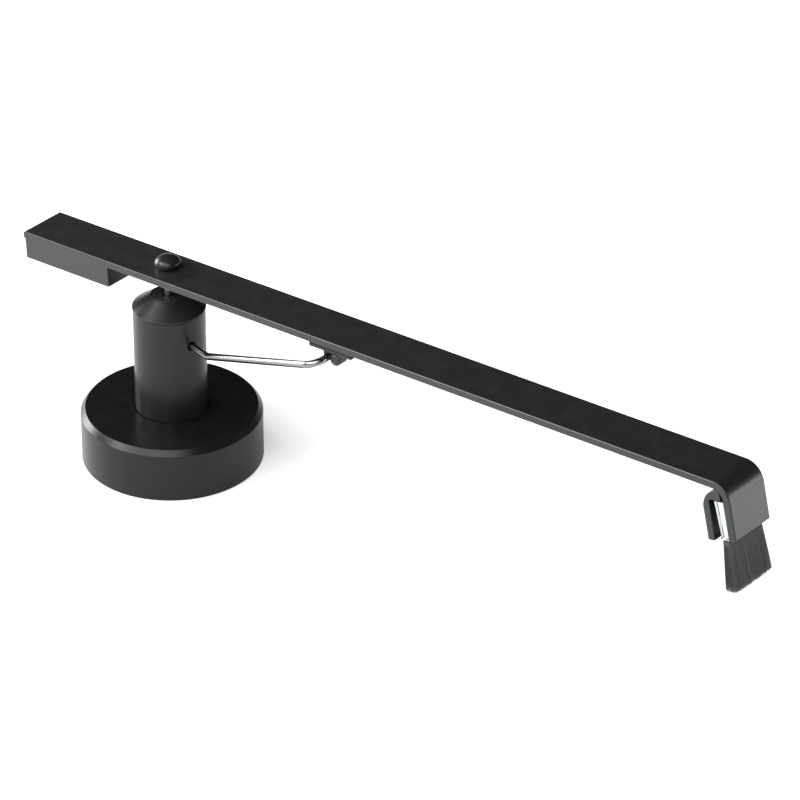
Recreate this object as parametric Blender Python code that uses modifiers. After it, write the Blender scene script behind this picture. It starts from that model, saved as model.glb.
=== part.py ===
"""Record cleaning arm: a brush on a balanced bar that pivots on a weighted stand.

The origin is the centre of the foot, +Z is up and +X runs along the bar towards
the brush. Lengths are in metres and angles in degrees. The bar is shown parked,
with its saddle on the rest wire.
"""

import math

import bmesh
import bpy
from mathutils import Matrix, Vector

# Fits
SEAT_GAP = 0.0002
RUNNING_CLEARANCE = 0.0001
CUT_OVERRUN = 0.0010

# Base and foot
BASE_RADIUS = 0.0250
BASE_TOP = 0.0156
BASE_CHAMFER_HEIGHT = 0.0016
BASE_CHAMFER_WIDTH = 0.0013
BASE_LOWER_CHAMFER = 0.0002
BASE_STANDOFF = 0.0002
BASE_FLOOR = 0.0012
FOOT_RIM_WIDTH = 0.0025
FOOT_PAD_THICKNESS = 0.0012

# Column, which slides in the base
COLUMN_RADIUS = 0.0099
COLUMN_CLEARANCE = 0.0003
COLUMN_BELOW_PIVOT = 0.0136
COLUMN_CHAMFER = 0.0003
COLUMN_BORE_RADIUS = 0.0032
HEIGHT_TRAVEL = 0.0060

# Conical cap and the bushes of the spindle
CAP_OVERHANG = 0.00015
CAP_LIP_HEIGHT = 0.0004
CAP_HEIGHT = 0.0040
CAP_TOP_RADIUS = 0.0049
CAP_RIM = 0.00025
CAP_SPIGOT_RADIUS = 0.0062
CAP_SPIGOT_LENGTH = 0.0032
BUSH_FLANGE_THICKNESS = 0.0008
BUSH_BODY_RADIUS = 0.0026
UPPER_BUSH_LENGTH = 0.0065
LOWER_BUSH_LENGTH = 0.0050
LOWER_BUSH_HEIGHT = 0.0140

# Spindle, its ball thrust bearing and its retaining ring
SPINDLE_RADIUS = 0.0014
SPINDLE_NECK_RADIUS = 0.0007
SPINDLE_NECK_LENGTH = 0.0050
SPINDLE_TAPER_LENGTH = 0.0010
SPINDLE_HEAD_RADIUS = 0.0010
CROSS_PIN_RADIUS = 0.0004
CROSS_PIN_LENGTH = 0.0038
BALL_RADIUS = 0.0015
PLUG_LENGTH = 0.0040
PLUG_RECESS = 0.0006
PLUG_DISH_RADIUS = 0.0014
PLUG_DISH_DEPTH = 0.0008
PLUG_SLOT_WIDTH = 0.0009
PLUG_SLOT_DEPTH = 0.0012
RING_THICKNESS = 0.0005
RING_OUTER_RADIUS = 0.0023
RING_GROOVE_DEPTH = 0.0003
RING_OPENING = 0.0014

# Bar
PIVOT_HEIGHT = 0.0600
PIVOT_ABOVE_BAR = 0.00105
PARK_TILT = 3.21
LIFT_ANGLE = 15.0
BAR_WIDTH = 0.0146
BAR_THICKNESS = 0.0019
BAR_REAR = 0.0467
BAR_FRONT = 0.1918
BAR_BEND_RADIUS = 0.0056
BAR_EDGE = 0.0003
FLAP_DROP = 0.0151
FLAP_LEAN = 9.6

# Domed nut and the ring nut under the bar
DOME_RADIUS = 0.00365
DOME_HEIGHT = 0.0033
DOME_SKIRT = 0.0011
DOME_FOOT_RADIUS = 0.0031
SPIGOT_RADIUS = 0.0027
RING_NUT_CORNER_RADIUS = 0.0043
RING_NUT_THICKNESS = 0.0012

# Counterweight
WEIGHT_LENGTH = 0.0306
WEIGHT_DEPTH = 0.0059
WEIGHT_INSET = 0.0003
WEIGHT_EDGE = 0.0003
TAPE_THICKNESS = 0.0003
TAPE_MARGIN = 0.0015

# Rest wire, and the pad and saddle that sit on it
WIRE_RADIUS = 0.0010
WIRE_HOLE_RADIUS = 0.0014
WIRE_HOLE_DROP = 0.0078
WIRE_INSERTION = 0.0055
WIRE_STUB_REACH = 0.0168
WIRE_BEND_RADIUS = 0.0035
REST_BAR_START = 0.0120
REST_BAR_END = 0.0045
REST_DISTANCE = 0.0616
REST_PAD_LENGTH = 0.0144
REST_PAD_WIDTH = 0.0136
REST_PAD_THICKNESS = 0.0005
REST_PAD_OFFSET = 0.0011
REST_PLATE_THICKNESS = 0.0007
SADDLE_ROOF = 0.0005
SADDLE_DEPTH = 0.0040
SADDLE_INSET = 0.0001
SADDLE_CLEARANCE = 0.0002
SADDLE_WALL = 0.0005
SADDLE_LOBE_RADIUS = 0.0015
SADDLE_LOBE_OFFSET = 0.0023
SADDLE_LOBE_DROP = 0.0004

# Brush and the clip behind the flap
CLIP_THICKNESS = 0.0021
CLIP_LEG_SPACE = 0.0048
CLIP_OVERHANG = 0.00065
CLIP_CROWN_RADIUS = 0.0055
CLIP_SHOULDER = 0.0082
CLIP_HEADROOM = 0.0003
CLIP_INNER_RADIUS = 0.0006
CLIP_END_GAP = 0.0010
FERRULE_WIDTH = 0.0146
FERRULE_HEIGHT = 0.0105
FERRULE_TOP_THICKNESS = 0.0033
FERRULE_MOUTH_THICKNESS = 0.0025
FERRULE_LIP_FLARE = 0.0002
FERRULE_LIP_HEIGHT = 0.0005
FERRULE_WALL = 0.0002
FERRULE_CORNER_SHARE = 0.25
CORE_LENGTH = 0.0040
BRISTLE_ROOT_LENGTH = 0.0030
BRISTLE_ROOT_INSET = 0.0002
BRISTLE_LENGTH = 0.0146
BRISTLE_TIP_THICKNESS = 0.0042
BRISTLE_TIP_WIDTH = 0.0152
BRISTLE_TIP_SHIFT = -0.0003
BRISTLE_ROWS = 6
BRISTLE_COLUMNS = 60
STRAND_GAP_SHARE = 0.22
STRAND_TIP_SHARE = 0.30
STRAND_TRIM = 0.0005

# Grub screws
HEIGHT_SCREW_RADIUS = 0.0020
HEIGHT_SCREW_LENGTH = 0.0060
REST_SCREW_RADIUS = 0.0015
REST_SCREW_LENGTH = 0.0040
REST_SCREW_WALL = 0.0005
CLAMP_SCREW_RADIUS = 0.00125
SOCKET_RADIUS_SHARE = 0.5
SOCKET_DEPTH_SHARE = 0.4

# Sides of round shapes
LARGE_ROUND_STEPS = 72
ROUND_STEPS = 48
SMALL_ROUND_STEPS = 24
HEXAGON_SIDES = 6
BEND_STEPS = 8
CORNER_STEPS = 4
DOME_STEPS = 8

SHARP_ANGLE = math.radians(30.0)
MERGE_DISTANCE = 0.000001

# Sizes and places that follow
FOOT_PAD_RADIUS = BASE_RADIUS - FOOT_RIM_WIDTH
COLUMN_TOP = PIVOT_HEIGHT - COLUMN_BELOW_PIVOT
WIRE_HOLE_HEIGHT = COLUMN_TOP - WIRE_HOLE_DROP
RECESS_CEILING = FOOT_PAD_THICKNESS + SEAT_GAP
BORE_FLOOR = RECESS_CEILING + BASE_FLOOR
COLUMN_FOOT = BORE_FLOOR + SEAT_GAP
CAP_SEAT = COLUMN_TOP + SEAT_GAP
CAP_TOP = CAP_SEAT + CAP_HEIGHT
PLUG_TOP = COLUMN_FOOT + PLUG_RECESS + PLUG_LENGTH
PLUG_DISH_SLOPE = math.atan(PLUG_DISH_DEPTH / PLUG_DISH_RADIUS)
BALL_HEIGHT = PLUG_TOP - PLUG_DISH_DEPTH + (BALL_RADIUS + SEAT_GAP) / math.cos(PLUG_DISH_SLOPE)
SPINDLE_FOOT = BALL_HEIGHT + BALL_RADIUS + SEAT_GAP
RING_TOP = LOWER_BUSH_HEIGHT - SEAT_GAP
RING_SEAT_RADIUS = SPINDLE_RADIUS - RING_GROOVE_DEPTH
TILT = math.radians(PARK_TILT)
LEAN = math.radians(FLAP_LEAN)
BAR_TOP_LEVEL = -PIVOT_ABOVE_BAR
BAR_UNDERSIDE = BAR_TOP_LEVEL - BAR_THICKNESS
NUT_UNDERSIDE = BAR_UNDERSIDE - SEAT_GAP - RING_NUT_THICKNESS
SADDLE_GROOVE_RADIUS = WIRE_RADIUS + SADDLE_CLEARANCE
REST_PAD_LEVEL = BAR_UNDERSIDE - SEAT_GAP
REST_PLATE_LEVEL = REST_PAD_LEVEL - REST_PAD_THICKNESS - SEAT_GAP
GROOVE_LEVEL = REST_PLATE_LEVEL - REST_PLATE_THICKNESS - SADDLE_ROOF - SADDLE_GROOVE_RADIUS


def clear_scene():
    """Remove what the file holds."""
    for item in list(bpy.data.objects):
        bpy.data.objects.remove(item, do_unlink=True)


def new_collection(name):
    """A collection linked to the scene."""
    collection = bpy.data.collections.new(name)
    bpy.context.scene.collection.children.link(collection)
    return collection


def make_material(name, colour, roughness, metallic):
    """A Principled material with the colour of the piece."""
    material = bpy.data.materials.new(name)
    material.use_nodes = True
    shader = material.node_tree.nodes["Principled BSDF"]
    shader.inputs["Base Color"].default_value = (*colour, 1.0)
    shader.inputs["Roughness"].default_value = roughness
    shader.inputs["Metallic"].default_value = metallic
    material.diffuse_color = (*colour, 1.0)
    return material


def add_object(name, data, collection, material=None, parent=None):
    """Put a mesh or curve in the scene as a named piece."""
    item = bpy.data.objects.new(name, data)
    collection.objects.link(item)
    item.parent = parent
    if material is not None:
        data.materials.append(material)
    return item


def add_empty(name, collection, location, turn_about_y=0.0, parent=None):
    """An empty that carries the pieces of one frame."""
    item = add_object(name, None, collection, parent=parent)
    item.location = location
    item.rotation_euler = (0.0, turn_about_y, 0.0)
    return item


def mesh_from_bmesh(name, form):
    """Finish a bmesh as a mesh with outward faces."""
    bmesh.ops.recalc_face_normals(form, faces=form.faces)
    mesh = bpy.data.meshes.new(name)
    form.to_mesh(mesh)
    form.free()
    return mesh


def smooth_round(item):
    """Shade the round faces smooth and keep the edges sharp."""
    item.data.shade_smooth()
    item.data.set_sharp_from_angle(angle=SHARP_ANGLE)


def turned(name, profile, steps, collection, material=None, parent=None, closed=True):
    """Turn a profile of (radius, height) points about Z.

    The profile runs down its outer side, top to bottom. A closed profile comes
    back up its bore, and an open one starts and ends on the axis.
    """
    mesh = bpy.data.meshes.new(name)
    points = [(radius, 0.0, height) for radius, height in profile]
    edges = [(index, index + 1) for index in range(len(points) - 1)]
    if closed:
        edges.append((len(points) - 1, 0))
    mesh.from_pydata(points, edges, [])
    item = add_object(name, mesh, collection, material, parent)
    screw = item.modifiers.new("Turn", "SCREW")
    screw.axis = "Z"
    screw.angle = math.tau
    screw.steps = steps
    screw.render_steps = steps
    screw.use_merge_vertices = True
    screw.merge_threshold = MERGE_DISTANCE
    screw.use_smooth_shade = True
    return item


def cylinder(name, radius, length, steps, collection, material=None, parent=None):
    """A cylinder about Z that starts at its origin."""
    form = bmesh.new()
    bmesh.ops.create_cone(
        form, cap_ends=True, segments=steps, radius1=radius, radius2=radius, depth=length
    )
    bmesh.ops.translate(form, verts=form.verts, vec=(0.0, 0.0, length / 2))
    item = add_object(name, mesh_from_bmesh(name, form), collection, material, parent)
    smooth_round(item)
    return item


def box(name, size, centre, collection, material=None, parent=None):
    """A box of full size (x, y, z) about its centre."""
    form = bmesh.new()
    bmesh.ops.create_cube(form, size=1.0)
    bmesh.ops.scale(form, verts=form.verts, vec=size)
    item = add_object(name, mesh_from_bmesh(name, form), collection, material, parent)
    item.location = centre
    return item


def round_edges(item, width, segments=2):
    """Break the sharp edges of a piece."""
    bevel = item.modifiers.new("Edge", "BEVEL")
    bevel.width = width
    bevel.segments = segments
    bevel.limit_method = "ANGLE"
    bevel.angle_limit = SHARP_ANGLE
    return bevel


def combine(item, tool, operation):
    """Cut a piece with a hidden shape, or join the shape to it."""
    tool.hide_render = True
    tool.display_type = "WIRE"
    boolean = item.modifiers.new(operation.title(), "BOOLEAN")
    boolean.operation = operation
    boolean.solver = "EXACT"
    boolean.object = tool


def cut(item, cutter):
    """Take the cutter's shape out of a piece."""
    combine(item, cutter, "DIFFERENCE")


def curve_object(name, points, collection, cyclic, dimensions, parent=None):
    """A curve through straight stretches between points."""
    curve = bpy.data.curves.new(name, "CURVE")
    curve.dimensions = dimensions
    spline = curve.splines.new("POLY")
    spline.points.add(len(points) - 1)
    for target, point in zip(spline.points, points):
        target.co = (*point, 1.0)
    spline.use_cyclic_u = cyclic
    return add_object(name, curve, collection, parent=parent)


def mesh_from_curve(source, material):
    """Make a curve object a mesh with welded caps, and remove the curve."""
    bpy.context.view_layer.update()
    graph = bpy.context.evaluated_depsgraph_get()
    name = source.name
    mesh = bpy.data.meshes.new_from_object(source.evaluated_get(graph))
    form = bmesh.new()
    form.from_mesh(mesh)
    bmesh.ops.remove_doubles(form, verts=form.verts, dist=MERGE_DISTANCE)
    bmesh.ops.recalc_face_normals(form, faces=form.faces)
    form.to_mesh(mesh)
    form.free()
    collection = source.users_collection[0]
    parent = source.parent
    place = source.matrix_world.copy()
    source.name = name + "_curve"
    item = add_object(name, mesh, collection, material, parent)
    item.matrix_world = place
    bpy.data.objects.remove(source, do_unlink=True)
    smooth_round(item)
    return item


def side_plate(name, outline, width, collection, material, parent=None):
    """Extrude an (x, z) outline sideways, half its width to each side."""
    flat = [(x, z, 0.0) for x, z in outline]
    source = curve_object(name, flat, collection, True, "2D", parent)
    source.data.fill_mode = "BOTH"
    source.data.extrude = width / 2
    source.rotation_euler = (math.radians(90.0), 0.0, 0.0)
    return mesh_from_curve(source, material)


def arc_points(centre, radius, start, end, steps):
    """Points along an arc in a plane, from one angle to another."""
    points = []
    for step in range(steps + 1):
        angle = start + (end - start) * step / steps
        points.append(Vector((
            centre[0] + radius * math.cos(angle),
            centre[1] + radius * math.sin(angle),
        )))
    return points


def make_foot_pad(parts, rubber):
    """Rubber disc that the stand rests on."""
    pad = cylinder("foot_pad", FOOT_PAD_RADIUS, FOOT_PAD_THICKNESS, LARGE_ROUND_STEPS, parts, rubber)
    return pad


def height_screw_level():
    """Height at which the screw still meets the column when it is drawn right up."""
    return COLUMN_FOOT + HEIGHT_TRAVEL + COLUMN_CHAMFER + SEAT_GAP + HEIGHT_SCREW_RADIUS


def make_base(parts, cutters, black):
    """Heavy disc with a chamfered top, a blind bore and a recess for the pad."""
    bore = COLUMN_RADIUS + COLUMN_CLEARANCE
    recess = FOOT_PAD_RADIUS + SEAT_GAP
    profile = [
        (BASE_RADIUS - BASE_CHAMFER_WIDTH, BASE_TOP),
        (BASE_RADIUS, BASE_TOP - BASE_CHAMFER_HEIGHT),
        (BASE_RADIUS, BASE_STANDOFF + BASE_LOWER_CHAMFER),
        (BASE_RADIUS - BASE_LOWER_CHAMFER, BASE_STANDOFF),
        (recess, BASE_STANDOFF),
        (recess, RECESS_CEILING),
        (0.0, RECESS_CEILING),
        (0.0, BORE_FLOOR),
        (bore, BORE_FLOOR),
        (bore, BASE_TOP),
    ]
    base = turned("base_weight", profile, LARGE_ROUND_STEPS, parts, black)
    hole = cylinder(
        "height_screw_hole", HEIGHT_SCREW_RADIUS + SEAT_GAP, BASE_RADIUS - COLUMN_RADIUS + CUT_OVERRUN,
        SMALL_ROUND_STEPS, cutters,
    )
    hole.location = (-COLUMN_RADIUS, 0.0, height_screw_level())
    hole.rotation_euler = (0.0, math.radians(-90.0), 0.0)
    cut(base, hole)
    return base


def make_grub_screw(name, radius, length, collection, cutters, material, parent=None):
    """Headless screw along Z, with its hexagon socket in the far end."""
    screw = cylinder(name, radius, length, SMALL_ROUND_STEPS, collection, material, parent)
    depth = length * SOCKET_DEPTH_SHARE
    socket = cylinder(
        name + "_socket", radius * SOCKET_RADIUS_SHARE, depth + CUT_OVERRUN, HEXAGON_SIDES, cutters
    )
    socket.parent = screw
    socket.location = (0.0, 0.0, length - depth)
    cut(screw, socket)
    return screw


def make_height_screw(parts, cutters, steel):
    """Screw in the rear of the base that holds the column at its height."""
    screw = make_grub_screw(
        "height_lock_screw", HEIGHT_SCREW_RADIUS, HEIGHT_SCREW_LENGTH, parts, cutters, steel
    )
    screw.location = (-COLUMN_RADIUS - SEAT_GAP, 0.0, height_screw_level())
    screw.rotation_euler = (0.0, math.radians(-90.0), 0.0)
    return screw


def wire_azimuth():
    """Direction in which the wire leaves the column, seen from above."""
    corner = rest_corner()
    return math.atan2(corner.y, corner.x)


def parked(point):
    """World place of a point given in the frame of the parked bar."""
    turn = Matrix.Rotation(-TILT, 3, "Y")
    return turn @ Vector(point) + Vector((0.0, 0.0, PIVOT_HEIGHT))


def rest_corner():
    """Corner where the rising wire turns to run under the bar."""
    groove = parked((REST_DISTANCE, 0.0, GROOVE_LEVEL))
    return Vector((groove.x, -REST_BAR_START, groove.z))


def make_column(parts, cutters, black):
    """Turned post with a bore for the spindle and a cross hole for the wire."""
    socket = CAP_SPIGOT_RADIUS + SEAT_GAP
    socket_floor = COLUMN_TOP - CAP_SPIGOT_LENGTH - SEAT_GAP
    profile = [
        (COLUMN_RADIUS, COLUMN_TOP),
        (COLUMN_RADIUS, COLUMN_FOOT + COLUMN_CHAMFER),
        (COLUMN_RADIUS - COLUMN_CHAMFER, COLUMN_FOOT),
        (COLUMN_BORE_RADIUS, COLUMN_FOOT),
        (COLUMN_BORE_RADIUS, socket_floor),
        (socket, socket_floor),
        (socket, COLUMN_TOP),
    ]
    column = turned("column", profile, ROUND_STEPS, parts, black)
    azimuth = wire_azimuth()
    wire_hole = cylinder(
        "wire_hole", WIRE_HOLE_RADIUS, WIRE_INSERTION + SEAT_GAP + CUT_OVERRUN, SMALL_ROUND_STEPS, cutters
    )
    start = COLUMN_RADIUS - WIRE_INSERTION - SEAT_GAP
    wire_hole.location = (start * math.cos(azimuth), start * math.sin(azimuth), WIRE_HOLE_HEIGHT)
    wire_hole.rotation_euler = (0.0, math.radians(90.0), azimuth)
    cut(column, wire_hole)
    screw_hole = cylinder(
        "rest_screw_hole", REST_SCREW_RADIUS + SEAT_GAP, COLUMN_RADIUS, SMALL_ROUND_STEPS, cutters
    )
    place_rest_screw(screw_hole, 0.0)
    cut(column, screw_hole)
    return column


def place_rest_screw(item, distance):
    """Lay a piece across the wire's stub, a distance from the stub's axis."""
    azimuth = wire_azimuth()
    reach = COLUMN_BORE_RADIUS + REST_SCREW_WALL + REST_SCREW_RADIUS + SEAT_GAP
    side = azimuth + math.radians(90.0)
    item.location = (
        reach * math.cos(azimuth) + distance * math.cos(side),
        reach * math.sin(azimuth) + distance * math.sin(side),
        WIRE_HOLE_HEIGHT,
    )
    item.rotation_euler = (0.0, math.radians(90.0), side)


def make_rest_screw(parts, cutters, steel):
    """Screw across the column that holds the stub of the wire."""
    screw = make_grub_screw(
        "rest_lock_screw", REST_SCREW_RADIUS, REST_SCREW_LENGTH, parts, cutters, steel
    )
    place_rest_screw(screw, WIRE_RADIUS + SEAT_GAP)
    return screw


def make_cap(parts, black):
    """Cone on the column, with a spigot in its bore and a seat for the bush."""
    outer = COLUMN_RADIUS + CAP_OVERHANG
    flange_seat = CAP_TOP_RADIUS - CAP_RIM
    seat_floor = CAP_TOP - BUSH_FLANGE_THICKNESS - SEAT_GAP
    bore = BUSH_BODY_RADIUS + SEAT_GAP
    spigot_end = CAP_SEAT - CAP_SPIGOT_LENGTH
    profile = [
        (flange_seat, CAP_TOP),
        (CAP_TOP_RADIUS, CAP_TOP),
        (outer, CAP_SEAT + CAP_LIP_HEIGHT),
        (outer, CAP_SEAT),
        (CAP_SPIGOT_RADIUS, CAP_SEAT),
        (CAP_SPIGOT_RADIUS, spigot_end),
        (bore, spigot_end),
        (bore, seat_floor),
        (flange_seat, seat_floor),
    ]
    return turned("column_cap", profile, ROUND_STEPS, parts, black)


def make_upper_bush(parts, polymer):
    """Flanged bush in the top of the cap."""
    flange = CAP_TOP_RADIUS - CAP_RIM - SEAT_GAP
    bore = SPINDLE_RADIUS + RUNNING_CLEARANCE
    under_flange = CAP_TOP - BUSH_FLANGE_THICKNESS
    profile = [
        (flange, CAP_TOP),
        (flange, under_flange),
        (BUSH_BODY_RADIUS, under_flange),
        (BUSH_BODY_RADIUS, CAP_TOP - UPPER_BUSH_LENGTH),
        (bore, CAP_TOP - UPPER_BUSH_LENGTH),
        (bore, CAP_TOP),
    ]
    return turned("upper_bush", profile, ROUND_STEPS, parts, polymer)


def make_lower_bush(parts, bronze):
    """Plain bush in the bore of the column."""
    outer = COLUMN_BORE_RADIUS - SEAT_GAP
    bore = SPINDLE_RADIUS + RUNNING_CLEARANCE
    top = LOWER_BUSH_HEIGHT + LOWER_BUSH_LENGTH
    profile = [
        (outer, top),
        (outer, LOWER_BUSH_HEIGHT),
        (bore, LOWER_BUSH_HEIGHT),
        (bore, top),
    ]
    return turned("lower_bush", profile, SMALL_ROUND_STEPS, parts, bronze)


def make_thrust_plug(parts, cutters, bronze):
    """Screwed plug with a dish for the ball and a slot for a screwdriver."""
    radius = COLUMN_BORE_RADIUS - SEAT_GAP
    foot = PLUG_TOP - PLUG_LENGTH
    profile = [
        (0.0, PLUG_TOP - PLUG_DISH_DEPTH),
        (PLUG_DISH_RADIUS, PLUG_TOP),
        (radius, PLUG_TOP),
        (radius, foot),
        (0.0, foot),
    ]
    plug = turned("thrust_plug", profile, SMALL_ROUND_STEPS, parts, bronze, closed=False)
    slot = box(
        "plug_slot", (2 * radius + CUT_OVERRUN, PLUG_SLOT_WIDTH, 2 * PLUG_SLOT_DEPTH),
        (0.0, 0.0, foot), cutters,
    )
    cut(plug, slot)
    return plug


def make_thrust_ball(parts, steel):
    """Ball that carries the spindle."""
    form = bmesh.new()
    bmesh.ops.create_uvsphere(
        form, u_segments=SMALL_ROUND_STEPS, v_segments=SMALL_ROUND_STEPS // 2, radius=BALL_RADIUS
    )
    ball = add_object("thrust_ball", mesh_from_bmesh("thrust_ball", form), parts, steel)
    ball.data.shade_smooth()
    ball.location = (0.0, 0.0, BALL_HEIGHT)
    return ball


def make_spindle(parts, cutters, steel, swing):
    """Turned pin with a slim neck and a ball head, origin on its own axis."""
    groove_foot = RING_TOP - RING_THICKNESS - RUNNING_CLEARANCE
    groove_top = RING_TOP + RUNNING_CLEARANCE
    neck_foot = PIVOT_HEIGHT - SPINDLE_NECK_LENGTH
    neck_end = PIVOT_HEIGHT - math.sqrt(SPINDLE_HEAD_RADIUS ** 2 - SPINDLE_NECK_RADIUS ** 2)
    start = math.radians(90.0)
    end = -math.acos(SPINDLE_NECK_RADIUS / SPINDLE_HEAD_RADIUS)
    head = arc_points((0.0, PIVOT_HEIGHT), SPINDLE_HEAD_RADIUS, start, end, DOME_STEPS)
    head[0] = Vector((0.0, PIVOT_HEIGHT + SPINDLE_HEAD_RADIUS))
    head[-1] = Vector((SPINDLE_NECK_RADIUS, neck_end))
    profile = [tuple(point) for point in head] + [
        (SPINDLE_NECK_RADIUS, neck_foot),
        (SPINDLE_RADIUS, neck_foot - SPINDLE_TAPER_LENGTH),
        (SPINDLE_RADIUS, groove_top),
        (RING_SEAT_RADIUS, groove_top),
        (RING_SEAT_RADIUS, groove_foot),
        (SPINDLE_RADIUS, groove_foot),
        (SPINDLE_RADIUS, SPINDLE_FOOT),
        (0.0, SPINDLE_FOOT),
    ]
    spindle = turned("spindle", profile, SMALL_ROUND_STEPS, parts, steel, swing, closed=False)
    length = 2 * SPINDLE_HEAD_RADIUS + CUT_OVERRUN
    eye = cylinder("cross_pin_eye", CROSS_PIN_RADIUS + RUNNING_CLEARANCE, length, SMALL_ROUND_STEPS, cutters)
    lay_across(eye, length)
    cut(spindle, eye)
    return spindle


def lay_across(item, length):
    """Lay a cylinder across the bar, centred on the pivot."""
    item.location = (0.0, length / 2, PIVOT_HEIGHT)
    item.rotation_euler = (math.radians(90.0), 0.0, 0.0)


def make_cross_pin(parts, steel, swing):
    """Pin through the head of the spindle, on which the bar tilts."""
    pin = cylinder("cross_pin", CROSS_PIN_RADIUS, CROSS_PIN_LENGTH, SMALL_ROUND_STEPS, parts, steel, swing)
    lay_across(pin, CROSS_PIN_LENGTH)
    return pin


def make_spindle_clip(parts, cutters, steel, swing):
    """Retaining ring in the groove of the spindle, open at one side."""
    inner = RING_SEAT_RADIUS + RUNNING_CLEARANCE
    foot = RING_TOP - RING_THICKNESS
    profile = [
        (RING_OUTER_RADIUS, RING_TOP),
        (RING_OUTER_RADIUS, foot),
        (inner, foot),
        (inner, RING_TOP),
    ]
    ring = turned("spindle_clip", profile, SMALL_ROUND_STEPS, parts, steel, swing)
    opening = box(
        "ring_opening", (RING_OUTER_RADIUS + CUT_OVERRUN, RING_OPENING, 2 * RING_THICKNESS),
        ((RING_OUTER_RADIUS + CUT_OVERRUN) / 2, 0.0, RING_TOP - RING_THICKNESS / 2), cutters,
    )
    cut(ring, opening)
    return ring


def bent_strip(start, turn, lengths, radius, thickness):
    """Outline of a strip that runs level for the first length, then turns down for the second.

    The start is the end of its outer side. The radius is that of the outer side.
    """
    first = Vector(start)
    below = Vector((0.0, -thickness))
    centre = first + Vector((lengths[0], -radius))
    down = Vector((math.cos(turn), -math.sin(turn))) * lengths[1]
    top = math.pi / 2
    outer = arc_points(centre, radius, top, top - turn, BEND_STEPS)
    inner = arc_points(centre, radius - thickness, top, top - turn, BEND_STEPS)
    outer_side = [first] + outer + [outer[-1] + down]
    inner_side = [first + below] + inner + [inner[-1] + down]
    return [tuple(point) for point in outer_side + inner_side[::-1]]


def bar_bend():
    """Turn, straight lengths and bend centre of the bar."""
    turn = math.radians(90.0) - LEAN
    tangent = BAR_BEND_RADIUS * math.tan(turn / 2)
    straight = BAR_REAR + BAR_FRONT - tangent
    flap = FLAP_DROP / math.cos(LEAN) - tangent
    centre = Vector((BAR_FRONT - tangent, BAR_TOP_LEVEL - BAR_BEND_RADIUS))
    return turn, straight, flap, centre


def bar_outline(thickness):
    """Side view of the bar for a thickness measured from its outer side."""
    turn, straight, flap, _ = bar_bend()
    return bent_strip((-BAR_REAR, BAR_TOP_LEVEL), turn, (straight, flap), BAR_BEND_RADIUS, thickness)


def flare_radius(depth):
    """Radius that lets the neck of the spindle lean at a depth below the pivot."""
    lean = TILT + math.radians(LIFT_ANGLE)
    return depth * math.tan(lean) + SPINDLE_NECK_RADIUS / math.cos(lean) + RUNNING_CLEARANCE


def make_bar(parts, cutters, black, bar_frame):
    """Flat bar with its front end bent down into the flap."""
    bar = side_plate("arm_bar", bar_outline(BAR_THICKNESS), BAR_WIDTH, parts, black, bar_frame)
    round_edges(bar, BAR_EDGE, 1)
    hole = cylinder(
        "pivot_hole", SPIGOT_RADIUS + SEAT_GAP, BAR_THICKNESS + 2 * CUT_OVERRUN, SMALL_ROUND_STEPS, cutters,
        parent=bar_frame,
    )
    hole.location = (0.0, 0.0, BAR_UNDERSIDE - CUT_OVERRUN)
    cut(bar, hole)
    return bar


def make_dome_nut(parts, cutters, black, bar_frame):
    """Domed nut whose spigot goes through the bar and rides on the cross pin."""
    foot = BAR_TOP_LEVEL + SEAT_GAP
    skirt = foot + DOME_SKIRT
    rise = DOME_HEIGHT - DOME_SKIRT
    profile = []
    for step in range(DOME_STEPS + 1):
        angle = math.radians(90.0) * (1 - step / DOME_STEPS)
        profile.append((DOME_RADIUS * math.cos(angle), skirt + rise * math.sin(angle)))
    profile[0] = (0.0, skirt + rise)
    profile += [
        (DOME_FOOT_RADIUS, foot),
        (SPIGOT_RADIUS, foot),
        (SPIGOT_RADIUS, NUT_UNDERSIDE),
        (0.0, NUT_UNDERSIDE),
    ]
    nut = turned("dome_nut", profile, ROUND_STEPS, parts, black, bar_frame, closed=False)
    head_room = SPINDLE_HEAD_RADIUS + SEAT_GAP
    mouth = -NUT_UNDERSIDE + CUT_OVERRUN
    shoulder = SPINDLE_NECK_RADIUS
    cavity = turned(
        "nut_cavity",
        [
            (0.0, head_room),
            (head_room, head_room),
            (head_room, -shoulder),
            (flare_radius(mouth), -mouth),
            (0.0, -mouth),
        ],
        SMALL_ROUND_STEPS, cutters, parent=bar_frame, closed=False,
    )
    cut(nut, cavity)
    slot_half = CROSS_PIN_RADIUS + RUNNING_CLEARANCE
    slot_length = CROSS_PIN_LENGTH + 2 * SEAT_GAP
    slot = box(
        "cross_pin_slot", (2 * slot_half, slot_length, mouth + slot_half),
        (0.0, 0.0, (slot_half - mouth) / 2), cutters, parent=bar_frame,
    )
    cut(nut, slot)
    return nut


def make_ring_nut(parts, cutters, steel, bar_frame):
    """Thin hexagon nut under the bar."""
    nut = cylinder(
        "pivot_ring_nut", RING_NUT_CORNER_RADIUS, RING_NUT_THICKNESS, HEXAGON_SIDES, parts, steel, bar_frame
    )
    nut.location = (0.0, 0.0, NUT_UNDERSIDE)
    bore = cylinder(
        "ring_nut_bore", SPIGOT_RADIUS + SEAT_GAP, RING_NUT_THICKNESS + 2 * CUT_OVERRUN, SMALL_ROUND_STEPS,
        cutters, parent=bar_frame,
    )
    bore.location = (0.0, 0.0, NUT_UNDERSIDE - CUT_OVERRUN)
    cut(nut, bore)
    return nut


def weight_centre():
    """Middle of the counterweight along the bar."""
    return -BAR_REAR + WEIGHT_INSET + WEIGHT_LENGTH / 2


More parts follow.
